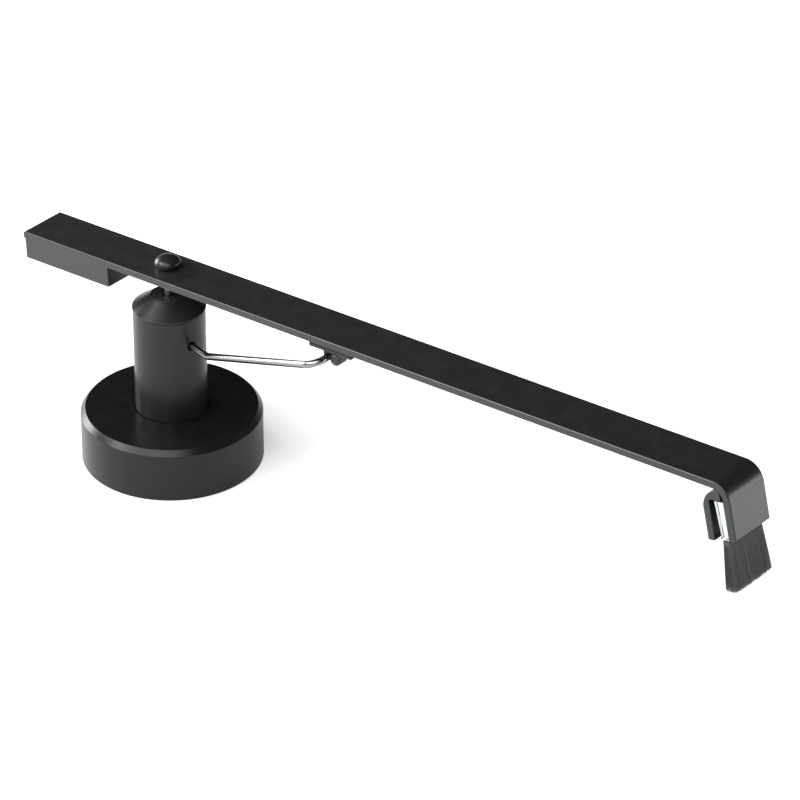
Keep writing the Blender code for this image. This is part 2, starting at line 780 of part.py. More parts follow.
def make_counterweight(parts, cutters, black, bar_frame):
    """Block under the rear end, with a pocket for the bonding sheet."""
    top = BAR_UNDERSIDE - SEAT_GAP
    weight = box(
        "counterweight", (WEIGHT_LENGTH, BAR_WIDTH, WEIGHT_DEPTH),
        (weight_centre(), 0.0, top - WEIGHT_DEPTH / 2), parts, black, bar_frame,
    )
    round_edges(weight, WEIGHT_EDGE)
    pocket_depth = TAPE_THICKNESS + SEAT_GAP
    margin = TAPE_MARGIN - SEAT_GAP
    pocket = box(
        "tape_pocket", (WEIGHT_LENGTH - 2 * margin, BAR_WIDTH - 2 * margin, 2 * pocket_depth),
        (weight_centre(), 0.0, top), cutters, parent=bar_frame,
    )
    cut(weight, pocket)
    return weight


def make_tape(parts, foam, bar_frame):
    """Bonding sheet in the pocket of the counterweight."""
    return box(
        "counterweight_tape",
        (WEIGHT_LENGTH - 2 * TAPE_MARGIN, BAR_WIDTH - 2 * TAPE_MARGIN, TAPE_THICKNESS),
        (weight_centre(), 0.0, BAR_UNDERSIDE - SEAT_GAP - TAPE_THICKNESS / 2), parts, foam, bar_frame,
    )


def make_wire(parts, steel):
    """Bent wire from the column up to its short level run under the bar."""
    corner = rest_corner()
    outward = Vector((corner.x, corner.y, 0.0)).normalized()
    start = outward * (COLUMN_RADIUS - WIRE_INSERTION) + Vector((0.0, 0.0, WIRE_HOLE_HEIGHT))
    knee = outward * WIRE_STUB_REACH + Vector((0.0, 0.0, WIRE_HOLE_HEIGHT))
    end = Vector((corner.x, REST_BAR_END, corner.z))
    points = [start]
    points += rounded_corner(start, knee, corner, WIRE_BEND_RADIUS)
    points += rounded_corner(knee, corner, end, WIRE_BEND_RADIUS)
    points.append(end)
    source = curve_object("rest_wire", [tuple(point) for point in points], parts, False, "3D")
    source.data.bevel_depth = WIRE_RADIUS
    source.data.bevel_resolution = 4
    source.data.use_fill_caps = True
    return mesh_from_curve(source, steel)


def rounded_corner(before, corner, after, radius):
    """Points of the arc that rounds the corner of a path."""
    back = (before - corner).normalized()
    ahead = (after - corner).normalized()
    half = back.angle(ahead) / 2
    inset = radius / math.tan(half)
    centre = corner + (back + ahead).normalized() * (radius / math.sin(half))
    first = corner + back * inset - centre
    turn = math.pi - 2 * half
    axis = back.cross(ahead)
    points = []
    for step in range(BEND_STEPS + 1):
        arm = Matrix.Rotation(-turn * step / BEND_STEPS, 3, axis) @ first
        points.append(centre + arm)
    return points


def make_rest_pad(parts, foam, bar_frame):
    """Adhesive foam pad between the bar and the saddle."""
    return box(
        "rest_pad", (REST_PAD_LENGTH, REST_PAD_WIDTH, REST_PAD_THICKNESS),
        (REST_DISTANCE + REST_PAD_OFFSET, 0.0, REST_PAD_LEVEL - REST_PAD_THICKNESS / 2),
        parts, foam, bar_frame,
    )


def saddle_outline():
    """Side view of the saddle: a groove over the wire and a round lobe."""
    inside_plate = REST_PLATE_LEVEL - REST_PLATE_THICKNESS / 2
    groove = (REST_DISTANCE, GROOVE_LEVEL)
    lobe = (REST_DISTANCE + SADDLE_LOBE_OFFSET, GROOVE_LEVEL - SADDLE_LOBE_DROP)
    rear = REST_DISTANCE - SADDLE_GROOVE_RADIUS - SADDLE_WALL
    lobe_end = -math.acos((SADDLE_GROOVE_RADIUS - SADDLE_LOBE_OFFSET) / SADDLE_LOBE_RADIUS)
    steps = SMALL_ROUND_STEPS // 2
    outline = [(rear, inside_plate), (lobe[0] + SADDLE_LOBE_RADIUS, inside_plate)]
    outline += arc_points(lobe, SADDLE_LOBE_RADIUS, 0.0, lobe_end, steps)
    outline += arc_points(groove, SADDLE_GROOVE_RADIUS, 0.0, math.pi, steps)
    outline.append((rear, GROOVE_LEVEL))
    return [tuple(point) for point in outline]


def make_rest_clip(parts, cutters, polymer, bar_frame):
    """Plate with a saddle at its near side that rests on the wire."""
    clip = box(
        "rest_clip", (REST_PAD_LENGTH, REST_PAD_WIDTH, REST_PLATE_THICKNESS),
        (REST_DISTANCE + REST_PAD_OFFSET, 0.0, REST_PLATE_LEVEL - REST_PLATE_THICKNESS / 2),
        parts, polymer, bar_frame,
    )
    saddle = side_plate("saddle", saddle_outline(), SADDLE_DEPTH, cutters, None, bar_frame)
    saddle.location.y = SADDLE_INSET + SADDLE_DEPTH / 2 - REST_PAD_WIDTH / 2
    combine(clip, saddle, "UNION")
    return clip


def flap_foot():
    """Lower edge of the flap's inner face, in the frame of the bar."""
    turn, _, flap, centre = bar_bend()
    outward = Vector((math.cos(LEAN), math.sin(LEAN)))
    down = Vector((math.sin(LEAN), -math.cos(LEAN)))
    return centre + outward * (BAR_BEND_RADIUS - BAR_THICKNESS) + down * flap


def clip_outline():
    """Side view of the clip in the frame of the brush: leg, round crown and square inner corner."""
    inner = -CLIP_LEG_SPACE
    outer = inner - CLIP_THICKNESS
    ceiling = FERRULE_HEIGHT + CLIP_HEADROOM
    crown = (outer + CLIP_CROWN_RADIUS, CLIP_SHOULDER)
    crown_end = math.acos((-CLIP_END_GAP - crown[0]) / CLIP_CROWN_RADIUS)
    corner = (inner + CLIP_INNER_RADIUS, ceiling - CLIP_INNER_RADIUS)
    outline = [(inner, -CLIP_OVERHANG), (outer, -CLIP_OVERHANG)]
    outline += arc_points(crown, CLIP_CROWN_RADIUS, math.pi, crown_end, BEND_STEPS)
    outline.append((-CLIP_END_GAP, ceiling))
    outline += arc_points(corner, CLIP_INNER_RADIUS, math.pi / 2, math.pi, BEND_STEPS // 2)
    return [tuple(point) for point in outline]


def make_brush_clip(parts, cutters, black, bar_frame, brush_frame):
    """Hooked clip whose crown fits the bend of the bar and whose leg stands behind the ferrule."""
    clip = side_plate("brush_clip", clip_outline(), BAR_WIDTH, parts, black, brush_frame)
    round_edges(clip, BAR_EDGE, 1)
    room = side_plate(
        "bend_room", bar_outline(BAR_THICKNESS + SEAT_GAP), BAR_WIDTH + 2 * CUT_OVERRUN, cutters, None,
        bar_frame,
    )
    cut(clip, room)
    hole = cylinder(
        "clamp_screw_hole", CLAMP_SCREW_RADIUS + SEAT_GAP, CLIP_THICKNESS + 2 * CUT_OVERRUN,
        SMALL_ROUND_STEPS, cutters, parent=brush_frame,
    )
    hole.location = (-CLIP_LEG_SPACE + CUT_OVERRUN, 0.0, clamp_level())
    hole.rotation_euler = (0.0, math.radians(-90.0), 0.0)
    cut(clip, hole)
    return clip


def clamp_level():
    """Height of the clamp screw above the foot of the flap."""
    return FERRULE_HEIGHT / 2


def ferrule_thickness(level):
    """Thickness of the ferrule at a height above its mouth."""
    share = level / FERRULE_HEIGHT
    return FERRULE_MOUTH_THICKNESS + (FERRULE_TOP_THICKNESS - FERRULE_MOUTH_THICKNESS) * share


def ferrule_rear(level):
    """Rear face of the ferrule, measured back from the flap's inner face."""
    return -SEAT_GAP - FERRULE_LIP_FLARE - ferrule_thickness(level)


def make_clamp_screw(parts, cutters, steel, brush_frame):
    """Screw through the leg that presses on the ferrule."""
    tip = ferrule_rear(clamp_level()) - SEAT_GAP
    length = tip + CLIP_LEG_SPACE + CLIP_THICKNESS
    screw = make_grub_screw(
        "brush_clamp_screw", CLAMP_SCREW_RADIUS, length, parts, cutters, steel, brush_frame
    )
    screw.location = (tip, 0.0, clamp_level())
    screw.rotation_euler = (0.0, math.radians(-90.0), 0.0)
    return screw


def flat_ring(form, width, thickness, level, front):
    """Ring of vertices round a flat rounded shape whose front side lies at a place in x."""
    ring = []
    radius = thickness * FERRULE_CORNER_SHARE
    reach = thickness / 2 - radius
    straight = width / 2 - radius
    sides = ((1.0, 1.0), (-1.0, 1.0), (-1.0, -1.0), (1.0, -1.0))
    for quarter, (fore, side) in enumerate(sides):
        centre = (front - thickness / 2 + fore * reach, side * straight)
        start = quarter * math.pi / 2
        for point in arc_points(centre, radius, start, start + math.pi / 2, CORNER_STEPS):
            ring.append(form.verts.new((*point, level)))
    return ring


def flat_body(name, levels, collection, material, parent, capped):
    """Loft flat rings (width, thickness, level, front) one above the other."""
    form = bmesh.new()
    rings = [flat_ring(form, *level) for level in levels]
    for lower, upper in zip(rings, rings[1:]):
        for index, corner in enumerate(lower):
            following = (index + 1) % len(lower)
            form.faces.new((corner, lower[following], upper[following], upper[index]))
    if capped:
        form.faces.new(rings[0])
        form.faces.new(rings[-1])
    item = add_object(name, mesh_from_bmesh(name, form), collection, material, parent)
    smooth_round(item)
    return item


def make_ferrule(parts, chrome, brush_frame):
    """Flattened tube, thicker at its top, with a small lip round its mouth."""
    lip = FERRULE_LIP_FLARE
    front = -SEAT_GAP - lip
    mouth = ferrule_thickness(FERRULE_LIP_HEIGHT)
    levels = [
        (FERRULE_WIDTH, mouth + 2 * lip, 0.0, front + lip),
        (FERRULE_WIDTH - 2 * lip, mouth, FERRULE_LIP_HEIGHT, front),
        (FERRULE_WIDTH - 2 * lip, FERRULE_TOP_THICKNESS, FERRULE_HEIGHT, front),
    ]
    ferrule = flat_body("brush_ferrule", levels, parts, chrome, brush_frame, False)
    wall = ferrule.modifiers.new("Wall", "SOLIDIFY")
    wall.thickness = FERRULE_WALL
    wall.offset = -1.0
    wall.use_even_offset = True
    return ferrule


def inner_ring(level):
    """Ring that fits inside the ferrule at a level."""
    inset = FERRULE_WALL + BRISTLE_ROOT_INSET
    width = FERRULE_WIDTH - 2 * FERRULE_LIP_FLARE - 2 * inset
    front = -SEAT_GAP - FERRULE_LIP_FLARE - inset
    return (width, ferrule_thickness(level) - 2 * inset, level, front)


def make_core(parts, polymer, brush_frame):
    """Plug that fills the top of the ferrule."""
    levels = [inner_ring(FERRULE_HEIGHT - CORE_LENGTH), inner_ring(FERRULE_HEIGHT - SEAT_GAP)]
    return flat_body("brush_core", levels, parts, polymer, brush_frame, True)


def make_bristles(parts, hair, brush_frame):
    """Rows of four-sided strands that fan out of their set root."""
    width, thickness, _, front = inner_ring(FERRULE_LIP_HEIGHT)
    middle = front - thickness / 2
    level = FERRULE_LIP_HEIGHT
    form = bmesh.new()
    grid = bmesh.ops.create_grid(form, x_segments=BRISTLE_ROWS, y_segments=BRISTLE_COLUMNS, size=0.5)
    bmesh.ops.scale(form, verts=grid["verts"], vec=(thickness, width, 1.0))
    bmesh.ops.translate(form, verts=grid["verts"], vec=(middle, 0.0, level))
    cells = list(form.faces)
    border = [edge for edge in form.edges if edge.is_boundary]
    raised = bmesh.ops.extrude_edge_only(form, edges=border)
    top = [item for item in raised["geom"] if isinstance(item, bmesh.types.BMVert)]
    bmesh.ops.translate(form, verts=top, vec=(0.0, 0.0, BRISTLE_ROOT_LENGTH))
    rim = [edge for edge in form.edges if edge.is_boundary]
    bmesh.ops.contextual_create(form, geom=rim)
    pitch = min(thickness / BRISTLE_ROWS, width / BRISTLE_COLUMNS)
    bmesh.ops.inset_individual(form, faces=cells, thickness=pitch * STRAND_GAP_SHARE / 2)
    strands = bmesh.ops.extrude_discrete_faces(form, faces=cells)["faces"]
    for number, face in enumerate(strands):
        centre = face.calc_center_median()
        across = (centre.x - middle) / thickness
        along = centre.y / width
        droop = STRAND_TRIM * math.sin(number * number) ** 2
        target = Vector((
            middle + BRISTLE_TIP_SHIFT + across * BRISTLE_TIP_THICKNESS,
            along * BRISTLE_TIP_WIDTH,
            level - FERRULE_LIP_HEIGHT - BRISTLE_LENGTH + droop,
        ))
        for corner in face.verts:
            corner.co = target + (corner.co - centre) * (1 - STRAND_TIP_SHARE)
    mesh = mesh_from_bmesh("brush_bristles", form)
    return add_object("brush_bristles", mesh, parts, hair, brush_frame)


def main():
    """Build every piece in its frame."""
    clear_scene()
    parts = new_collection("record_cleaning_arm")
    cutters = new_collection("cutters")
    black = make_material("black_anodised", (0.022, 0.023, 0.025), 0.38, 0.6)
    black_paint = make_material("black_coated_steel", (0.020, 0.020, 0.021), 0.45, 0.3)
    steel = make_material("bright_steel", (0.62, 0.61, 0.59), 0.22, 1.0)
    dark_steel = make_material("blackened_steel", (0.05, 0.05, 0.055), 0.40, 0.9)
    chrome = make_material("chrome_plate", (0.86, 0.87, 0.88), 0.08, 1.0)
    bronze = make_material("bearing_bronze", (0.50, 0.33, 0.15), 0.35, 1.0)
    polymer = make_material("black_polymer", (0.012, 0.012, 0.013), 0.50, 0.0)
    rubber = make_material("black_rubber", (0.018, 0.018, 0.018), 0.85, 0.0)
    foam = make_material("adhesive_foam", (0.045, 0.045, 0.046), 0.90, 0.0)
    hair = make_material("dark_hair", (0.018, 0.016, 0.015), 0.60, 0.0)

    swing = add_empty("swing_axis", parts, (0.0, 0.0, 0.0))
    bar_frame = add_empty("bar_frame", parts, (0.0, 0.0, PIVOT_HEIGHT), -TILT)
    foot = flap_foot()
    brush_frame = add_empty("brush_frame", parts, (foot.x, 0.0, foot.y), -LEAN, bar_frame)
    bpy.context.view_layer.update()

    make_foot_pad(parts, rubber)
    make_base(parts, cutters, black_paint)
    make_height_screw(parts, cutters, dark_steel)
    make_column(parts, cutters, black)
    make_cap(parts, black)
    make_upper_bush(parts, polymer)
    make_lower_bush(parts, bronze)
    make_thrust_plug(parts, cutters, bronze)
    make_thrust_ball(parts, steel)
    make_wire(parts, steel)
    make_rest_screw(parts, cutters, dark_steel)
    make_spindle(parts, cutters, steel, swing)
    make_cross_pin(parts, steel, swing)
    make_spindle_clip(parts, cutters, dark_steel, swing)
    make_bar(parts, cutters, black, bar_frame)
    make_dome_nut(parts, cutters, black, bar_frame)
    make_ring_nut(parts, cutters, dark_steel, bar_frame)
    make_counterweight(parts, cutters, black_paint, bar_frame)
    make_tape(parts, foam, bar_frame)
    make_rest_pad(parts, foam, bar_frame)
    make_rest_clip(parts, cutters, polymer, bar_frame)
    make_brush_clip(parts, cutters, black, bar_frame, brush_frame)
    make_clamp_screw(parts, cutters, dark_steel, brush_frame)
    make_ferrule(parts, chrome, brush_frame)
    make_core(parts, polymer, brush_frame)
    make_bristles(parts, hair, brush_frame)


main()
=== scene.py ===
import math
import random

import bmesh
import bpy
from mathutils import Matrix, Vector


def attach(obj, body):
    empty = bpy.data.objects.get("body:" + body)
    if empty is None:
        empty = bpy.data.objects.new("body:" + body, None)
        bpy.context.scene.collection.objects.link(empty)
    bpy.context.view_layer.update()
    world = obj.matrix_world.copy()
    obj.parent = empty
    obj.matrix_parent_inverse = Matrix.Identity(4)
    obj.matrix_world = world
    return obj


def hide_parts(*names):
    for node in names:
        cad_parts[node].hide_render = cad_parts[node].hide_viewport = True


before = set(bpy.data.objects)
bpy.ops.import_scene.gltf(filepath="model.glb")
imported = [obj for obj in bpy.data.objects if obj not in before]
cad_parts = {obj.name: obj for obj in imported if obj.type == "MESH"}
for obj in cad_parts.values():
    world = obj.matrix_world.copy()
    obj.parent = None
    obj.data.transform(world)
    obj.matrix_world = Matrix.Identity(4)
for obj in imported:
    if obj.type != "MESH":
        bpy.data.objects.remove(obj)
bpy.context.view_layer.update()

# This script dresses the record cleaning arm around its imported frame. The origin is the centre of the
# foot, +Z is up and +X runs along the parked bar towards the brush. Lengths are in metres.

# Directions
UPWARD = Vector((0.0, 0.0, 1.0))
REARWARD = Vector((-1.0, 0.0, 0.0))

# Fits and general finish
SEAT_GAP = 0.0002
MERGE_DISTANCE = 0.0000005
CUT_OVERRUN = 0.0010
SHARP_ANGLE = math.radians(34.0)
FLAT_ANGLE = math.radians(0.5)
FINE_EDGE = 0.00006
SMALL_EDGE = 0.00012
CORNER_STEPS = 5
LARGE_ROUND_STEPS = 192
ROUND_STEPS = 128
SMALL_ROUND_STEPS = 64
BEND_STEPS = 24

# Base and foot
BASE_RADIUS = 0.0250
BASE_TOP = 0.0156
BASE_CHAMFER_HEIGHT = 0.0016
BASE_CHAMFER_WIDTH = 0.0013
BASE_EDGE = 0.00022
BASE_STANDOFF = 0.0002
BASE_BORE_RADIUS = 0.0102
BASE_BORE_FLOOR = 0.0026
FOOT_PAD_RADIUS = 0.0225
FOOT_PAD_THICKNESS = 0.0012
RECESS_CEILING = FOOT_PAD_THICKNESS + SEAT_GAP

# Column and cap
COLUMN_RADIUS = 0.0099
COLUMN_FOOT = BASE_BORE_FLOOR + SEAT_GAP
COLUMN_TOP = 0.0464
COLUMN_EDGE = 0.0002
COLUMN_BORE_RADIUS = 0.0032
CAP_SEAT = COLUMN_TOP + SEAT_GAP
CAP_OVERHANG = 0.00015
CAP_LIP_HEIGHT = 0.0004
CAP_TOP = CAP_SEAT + 0.0040
CAP_TOP_RADIUS = 0.0049
CAP_RIM = 0.00025
CAP_SPIGOT_RADIUS = 0.0062
CAP_SPIGOT_LENGTH = 0.0032
BUSH_FLANGE_THICKNESS = 0.0008
BUSH_BODY_RADIUS = 0.0026
BUSH_LENGTH = 0.0065
BUSH_BORE_RADIUS = 0.0015

# Screw at the rear of the base, level with the foot of the fully raised column
HEIGHT_SCREW_RADIUS = 0.0020
HEIGHT_TRAVEL = 0.0060
COLUMN_CHAMFER = 0.0003
SCREW_LEVEL = COLUMN_FOOT + HEIGHT_TRAVEL + COLUMN_CHAMFER + SEAT_GAP + HEIGHT_SCREW_RADIUS

# Spindle
SPINDLE_RADIUS = 0.0014
SPINDLE_NECK_RADIUS = 0.0007
SPINDLE_NECK_LENGTH = 0.0050
SPINDLE_TAPER_LENGTH = 0.0010
SPINDLE_HEAD_RADIUS = 0.0010
SPINDLE_FOOT = 0.0104

# Bar
PIVOT_HEIGHT = 0.0600
PIVOT_ABOVE_BAR = 0.00105
TILT = math.radians(3.21)
LIFT_ANGLE = math.radians(15.0)
LEAN = math.radians(9.6)
BAR_WIDTH = 0.0146
BAR_THICKNESS = 0.0019
BAR_REAR = 0.0467
BAR_FRONT = 0.1918
BAR_BEND_RADIUS = 0.0056
BAR_EDGE = 0.00045
FLAP_DROP = 0.0151
BAR_TOP_LEVEL = -PIVOT_ABOVE_BAR
BAR_UNDERSIDE = BAR_TOP_LEVEL - BAR_THICKNESS

# Domed nut and ring nut
DOME_RADIUS = 0.00365
DOME_HEIGHT = 0.0033
DOME_SKIRT = 0.0011
DOME_FOOT_RADIUS = 0.0031
SPIGOT_RADIUS = 0.0027
RING_NUT_THICKNESS = 0.0012
NUT_UNDERSIDE = BAR_UNDERSIDE - SEAT_GAP - RING_NUT_THICKNESS
NECK_CLEARANCE = 0.0001

# Counterweight
WEIGHT_LENGTH = 0.0306
WEIGHT_DEPTH = 0.0059
WEIGHT_INSET = 0.0003
WEIGHT_EDGE = 0.0003
WEIGHT_JOINT = 0.00001
TAPE_THICKNESS = 0.0003
TAPE_MARGIN = 0.0013

# Rest wire, pad and saddle
WIRE_RADIUS = 0.0010
WIRE_HOLE_RADIUS = 0.0014
WIRE_HOLE_HEIGHT = 0.0386
WIRE_INSERTION = 0.0055
WIRE_STUB_REACH = 0.0168
WIRE_BEND_RADIUS = 0.0035
REST_BAR_START = 0.0120
REST_BAR_END = 0.0045
REST_DISTANCE = 0.0616
REST_PAD_LENGTH = 0.0144
REST_PAD_WIDTH = 0.0136
REST_PAD_THICKNESS = 0.0005
REST_PAD_OFFSET = 0.0011
REST_PLATE_THICKNESS = 0.0007
PAD_CUTS = 40
PAD_SEED = 11
PAD_RAGGED = SMALL_EDGE / 3
SADDLE_ROOF = 0.0005
SADDLE_DEPTH = 0.0040
SADDLE_INSET = 0.0001
SADDLE_CLEARANCE = 0.0002
SADDLE_WALL = 0.0005
SADDLE_LOBE_RADIUS = 0.0015
SADDLE_LOBE_OFFSET = 0.0023
SADDLE_LOBE_DROP = 0.0004
SADDLE_SETBACK = 0.0005
KNOB_RADIUS = 0.00165
KNOB_EDGE = 0.00075
KNOB_DIMPLE_RADIUS = 0.00055
KNOB_DIMPLE_DEPTH = 0.00025
REST_SCREW_RADIUS = 0.0015
REST_SCREW_WALL = 0.0005
REST_PAD_LEVEL = BAR_UNDERSIDE - SEAT_GAP
REST_PLATE_LEVEL = REST_PAD_LEVEL - REST_PAD_THICKNESS - SEAT_GAP
SADDLE_GROOVE_RADIUS = WIRE_RADIUS + SADDLE_CLEARANCE
GROOVE_LEVEL = REST_PLATE_LEVEL - REST_PLATE_THICKNESS - SADDLE_ROOF - SADDLE_GROOVE_RADIUS

# Brush and its clip
CLIP_THICKNESS = 0.0021
CLIP_LEG_SPACE = 0.0048
CLIP_OVERHANG = 0.00065
CLIP_CROWN_RADIUS = 0.0055
CLIP_SHOULDER = 0.0082
CLIP_HEADROOM = 0.0003
CLIP_INNER_RADIUS = 0.0006
CLIP_END_GAP = 0.0010
CLAMP_SCREW_RADIUS = 0.00125
FERRULE_WIDTH = 0.0146
FERRULE_HEIGHT = 0.0105
FERRULE_TOP_THICKNESS = 0.0033
FERRULE_MOUTH_THICKNESS = 0.0025
FERRULE_LIP_FLARE = 0.0002
FERRULE_LIP_HEIGHT = 0.0005
FERRULE_WALL = 0.0002
FERRULE_CORNER_SHARE = 0.25
FERRULE_GROOVE_WIDTH = 0.00070
FERRULE_GROOVE_DEPTH = 0.00090
FERRULE_GROOVE_SHARE = 0.38
BRISTLE_ROOT_LENGTH = 0.0030
BRISTLE_ROOT_INSET = 0.0002
BRISTLE_LENGTH = 0.0146
BRISTLE_TIP_THICKNESS = 0.0038
BRISTLE_TIP_WIDTH = 0.0149
BRISTLE_TIP_SHIFT = -0.0003
BRISTLE_ROWS = 16
BRISTLE_COLUMNS = 120
BRISTLE_LEVELS = 5
HAIR_SEED = 5
ROOT_TONE_SHARE = 0.35
STRAND_GAP_SHARE = 0.30
STRAND_TIP_SHARE = 0.45
STRAND_WANDER = 0.00022
STRAND_BOW = 0.00030
STRAND_TRIM = 0.0009
CORNER_TRIM = 0.0003
TRIM_POWER = 2
CORNER_POWER = 3
TONE_POWER = 3

# Finishes
TONE_VARIATION = 0.12
HAIR_DARK = (0.004, 0.004, 0.004)
HAIR_LIGHT = (0.080, 0.077, 0.073)
WEAR_WIDTH = 0.00025
DUST_COLOUR = (0.30, 0.30, 0.29)
DUST_ROUGHENING = 0.4

# Camera, fitted to the photograph
CAMERA_LENS_MM = 225.4027
CAMERA_SENSOR_MM = 36.0
CAMERA_PITCH = math.radians(31.346)
CAMERA_YAW = math.radians(39.615)
CAMERA_DISTANCE = 1.37826
IMAGE_SIZE = 800
BASE_CENTRE_PIXEL = (173.107, 452.671)
CAMERA_NEAR = 0.05
CAMERA_FAR = 12.0

# Stage and lights
FLOOR_RADIUS = 4.0
WALL_HEIGHT = 0.55
FLOOR_COLOUR = (0.80, 0.80, 0.80)
FLOOR_GLOW = 0.50
MIRRORED_GLOW = 0.20
WORLD_COLOUR = (0.030, 0.030, 0.031)
LIGHT_TARGET = Vector((0.05, 0.0, 0.03))
FLAP_TARGET = Vector((0.19, 0.0, 0.045))
LIGHT_DISTANCE = 0.80
CARD_DISTANCE = 0.16
LIGHT_TINT = (0.96, 0.985, 1.0)


def arc_points(centre, radius, start, end, steps):
    """Points along an arc in a plane, from one angle to another."""
    points = []
    for step in range(steps + 1):
        angle = start + (end - start) * step / steps
        points.append(Vector((centre[0] + radius * math.cos(angle), centre[1] + radius * math.sin(angle))))
    return points


def corner_arc(before, corner, after, radius, steps):
    """Points of the arc that rounds a corner between its neighbours."""
    back = (before - corner).normalized()
    ahead = (after - corner).normalized()
    half = back.angle(ahead) / 2
    centre = corner + (back + ahead).normalized() * radius / math.sin(half)
    first = corner + back * radius / math.tan(half) - centre
    axis = back.cross(ahead)
    points = []
    for step in range(steps + 1):
        points.append(centre + Matrix.Rotation(-(math.pi - 2 * half) * step / steps, 3, axis) @ first)
    return points


def rounded(outline):
    """Outline whose (x, y, radius) corners are rounded to their radius. Zero keeps a corner sharp."""
    corners = [Vector((x, y, 0.0)) for x, y, _ in outline]
    points = []
    for index, corner in enumerate(corners):
        radius = outline[index][2]
        if radius == 0:
            points.append(corner)
            continue
        after = corners[(index + 1) % len(corners)]
        points += corner_arc(corners[index - 1], corner, after, radius, CORNER_STEPS)
    return points


def turned(points, steps, closed):
    """Spin a profile of (radius, height) points about Z. An open one starts and ends on the axis."""
    form = bmesh.new()
    corners = [form.verts.new((point[0], 0.0, point[1])) for point in points]
    for first, second in zip(corners, corners[1:]):
        form.edges.new((first, second))
    if closed:
        form.edges.new((corners[-1], corners[0]))
    bmesh.ops.spin(
        form, geom=form.verts[:] + form.edges[:], cent=(0.0, 0.0, 0.0), axis=(0.0, 0.0, 1.0),
        angle=math.tau, steps=steps, use_merge=True,
    )
    bmesh.ops.remove_doubles(form, verts=form.verts, dist=MERGE_DISTANCE)
    return form


def shift_raised(form, raised, step):
    """Move the corners that an extrusion has raised."""
    corners = [item for item in raised["geom"] if isinstance(item, bmesh.types.BMVert)]
    bmesh.ops.translate(form, verts=corners, vec=step)


def raise_rim(form, height):
    """Extrude the open edges of a form upwards."""
    rim = [edge for edge in form.edges if edge.is_boundary]
    shift_raised(form, bmesh.ops.extrude_edge_only(form, edges=rim), (0.0, 0.0, height))


def plate(points, width, upper=0):
    """Extrude an (x, z) outline half its width to each side, and mark its first points as upper."""
    form = bmesh.new()
    mark = form.verts.layers.int.new("upper")
    corners = [form.verts.new((point[0], -width / 2, point[1])) for point in points]
    for corner in corners[:upper]:
        corner[mark] = 1
    face = form.faces.new(corners)
    shift_raised(form, bmesh.ops.extrude_face_region(form, geom=[face]), (0.0, width, 0.0))
    return form


def block(low, high):
    """A box between two corners."""
    form = bmesh.new()
    bmesh.ops.create_cube(form, size=1.0)
    bmesh.ops.scale(form, verts=form.verts, vec=high - low)
    bmesh.ops.translate(form, verts=form.verts, vec=(low + high) / 2)
    return form


def bevel(form, edges, width, segments, clamp=False):
    """Round off edges of a form."""
    bmesh.ops.bevel(
        form, geom=edges, offset=width, offset_type="OFFSET", segments=segments, profile=0.5,
        affect="EDGES", material=-1, clamp_overlap=clamp,
    )


def break_edges(form, width, segments=3, upper_only=False):
    """Bevel every sharp edge of a form, or only those between its upper points."""
    mark = form.verts.layers.int.get("upper")
    edges = [edge for edge in form.edges if edge.is_manifold and edge.calc_face_angle() > SHARP_ANGLE]
    if upper_only:
        edges = [edge for edge in edges if all(corner[mark] for corner in edge.verts)]
    bevel(form, edges, width, segments, clamp=True)


def new_object(name, data):
    """A named object in the scene."""
    item = bpy.data.objects.new(name, data)
    bpy.context.scene.collection.objects.link(item)
    return item


def piece(name, form, material):
    """Make a form a named object with outward faces."""
    bmesh.ops.recalc_face_normals(form, faces=form.faces)
    mesh = bpy.data.meshes.new(name)
    form.to_mesh(mesh)
    form.free()
    mesh.materials.append(material)
    return new_object(name, mesh)


def modify(item, kind, **settings):
    """Give a piece a modifier, keep what it makes and drop it."""
    modifier = item.modifiers.new(kind, kind)
    for name, value in settings.items():
        setattr(modifier, name, value)
    bpy.context.view_layer.update()
    graph = bpy.context.evaluated_depsgraph_get()
    mesh = bpy.data.meshes.new_from_object(item.evaluated_get(graph))
    item.modifiers.clear()
    item.data = mesh
    mesh.name = item.name


def combine(item, other, operation):
    """Cut another piece out of a piece or join it on, and drop the other."""
    modify(item, "BOOLEAN", operation=operation, solver="EXACT", object=other)
    bpy.data.objects.remove(other, do_unlink=True)


def bore(item, radius, start, direction, length):
    """Cut a round hole from a point along a direction."""
    form = bmesh.new()
    bmesh.ops.create_cone(
        form, cap_ends=True, segments=SMALL_ROUND_STEPS, radius1=radius, radius2=radius, depth=length
    )
    turn = direction.to_track_quat("Z", "Y").to_matrix().to_4x4()
    middle = start + direction.normalized() * length / 2
    bmesh.ops.transform(form, matrix=Matrix.Translation(middle) @ turn, verts=form.verts)
    combine(item, piece("cutter", form, item.data.materials[0]), "DIFFERENCE")


def place_and_shade(item, place=None):
    """Put a piece where it belongs and shade its round faces smooth."""
    if place is not None:
        item.data.transform(place)
    item.data.shade_smooth()
    item.data.set_sharp_from_angle(angle=SHARP_ANGLE)
    modify(item, "WEIGHTED_NORMAL", keep_sharp=True)


def belongs(item, body, slot, *nodes):
    """Let a piece ride on a body and stand for its nodes, which are hidden. The slot is not used."""
    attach(item, body)
    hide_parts(*nodes)


def dressed_copy(node, name, material, edge):
    """A welded copy of a solid with its edges broken."""
    form = bmesh.new()
    form.from_mesh(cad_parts[node].data)
    bmesh.ops.remove_doubles(form, verts=form.verts, dist=MERGE_DISTANCE)
    bmesh.ops.dissolve_limit(form, angle_limit=FLAT_ANGLE, verts=form.verts, edges=form.edges)
    item = piece(name, form, material)
    modify(item, "BEVEL", width=edge, segments=2, limit_method="ANGLE", angle_limit=SHARP_ANGLE)
    place_and_shade(item)
    return item


def feed(tree, item, values):
    """Set inputs of a node, or link those whose value comes from another node."""
    for name, value in values.items():
        if isinstance(value, bpy.types.NodeSocket):
            tree.links.new(value, item.inputs[name])
        else:
            item.inputs[name].default_value = value


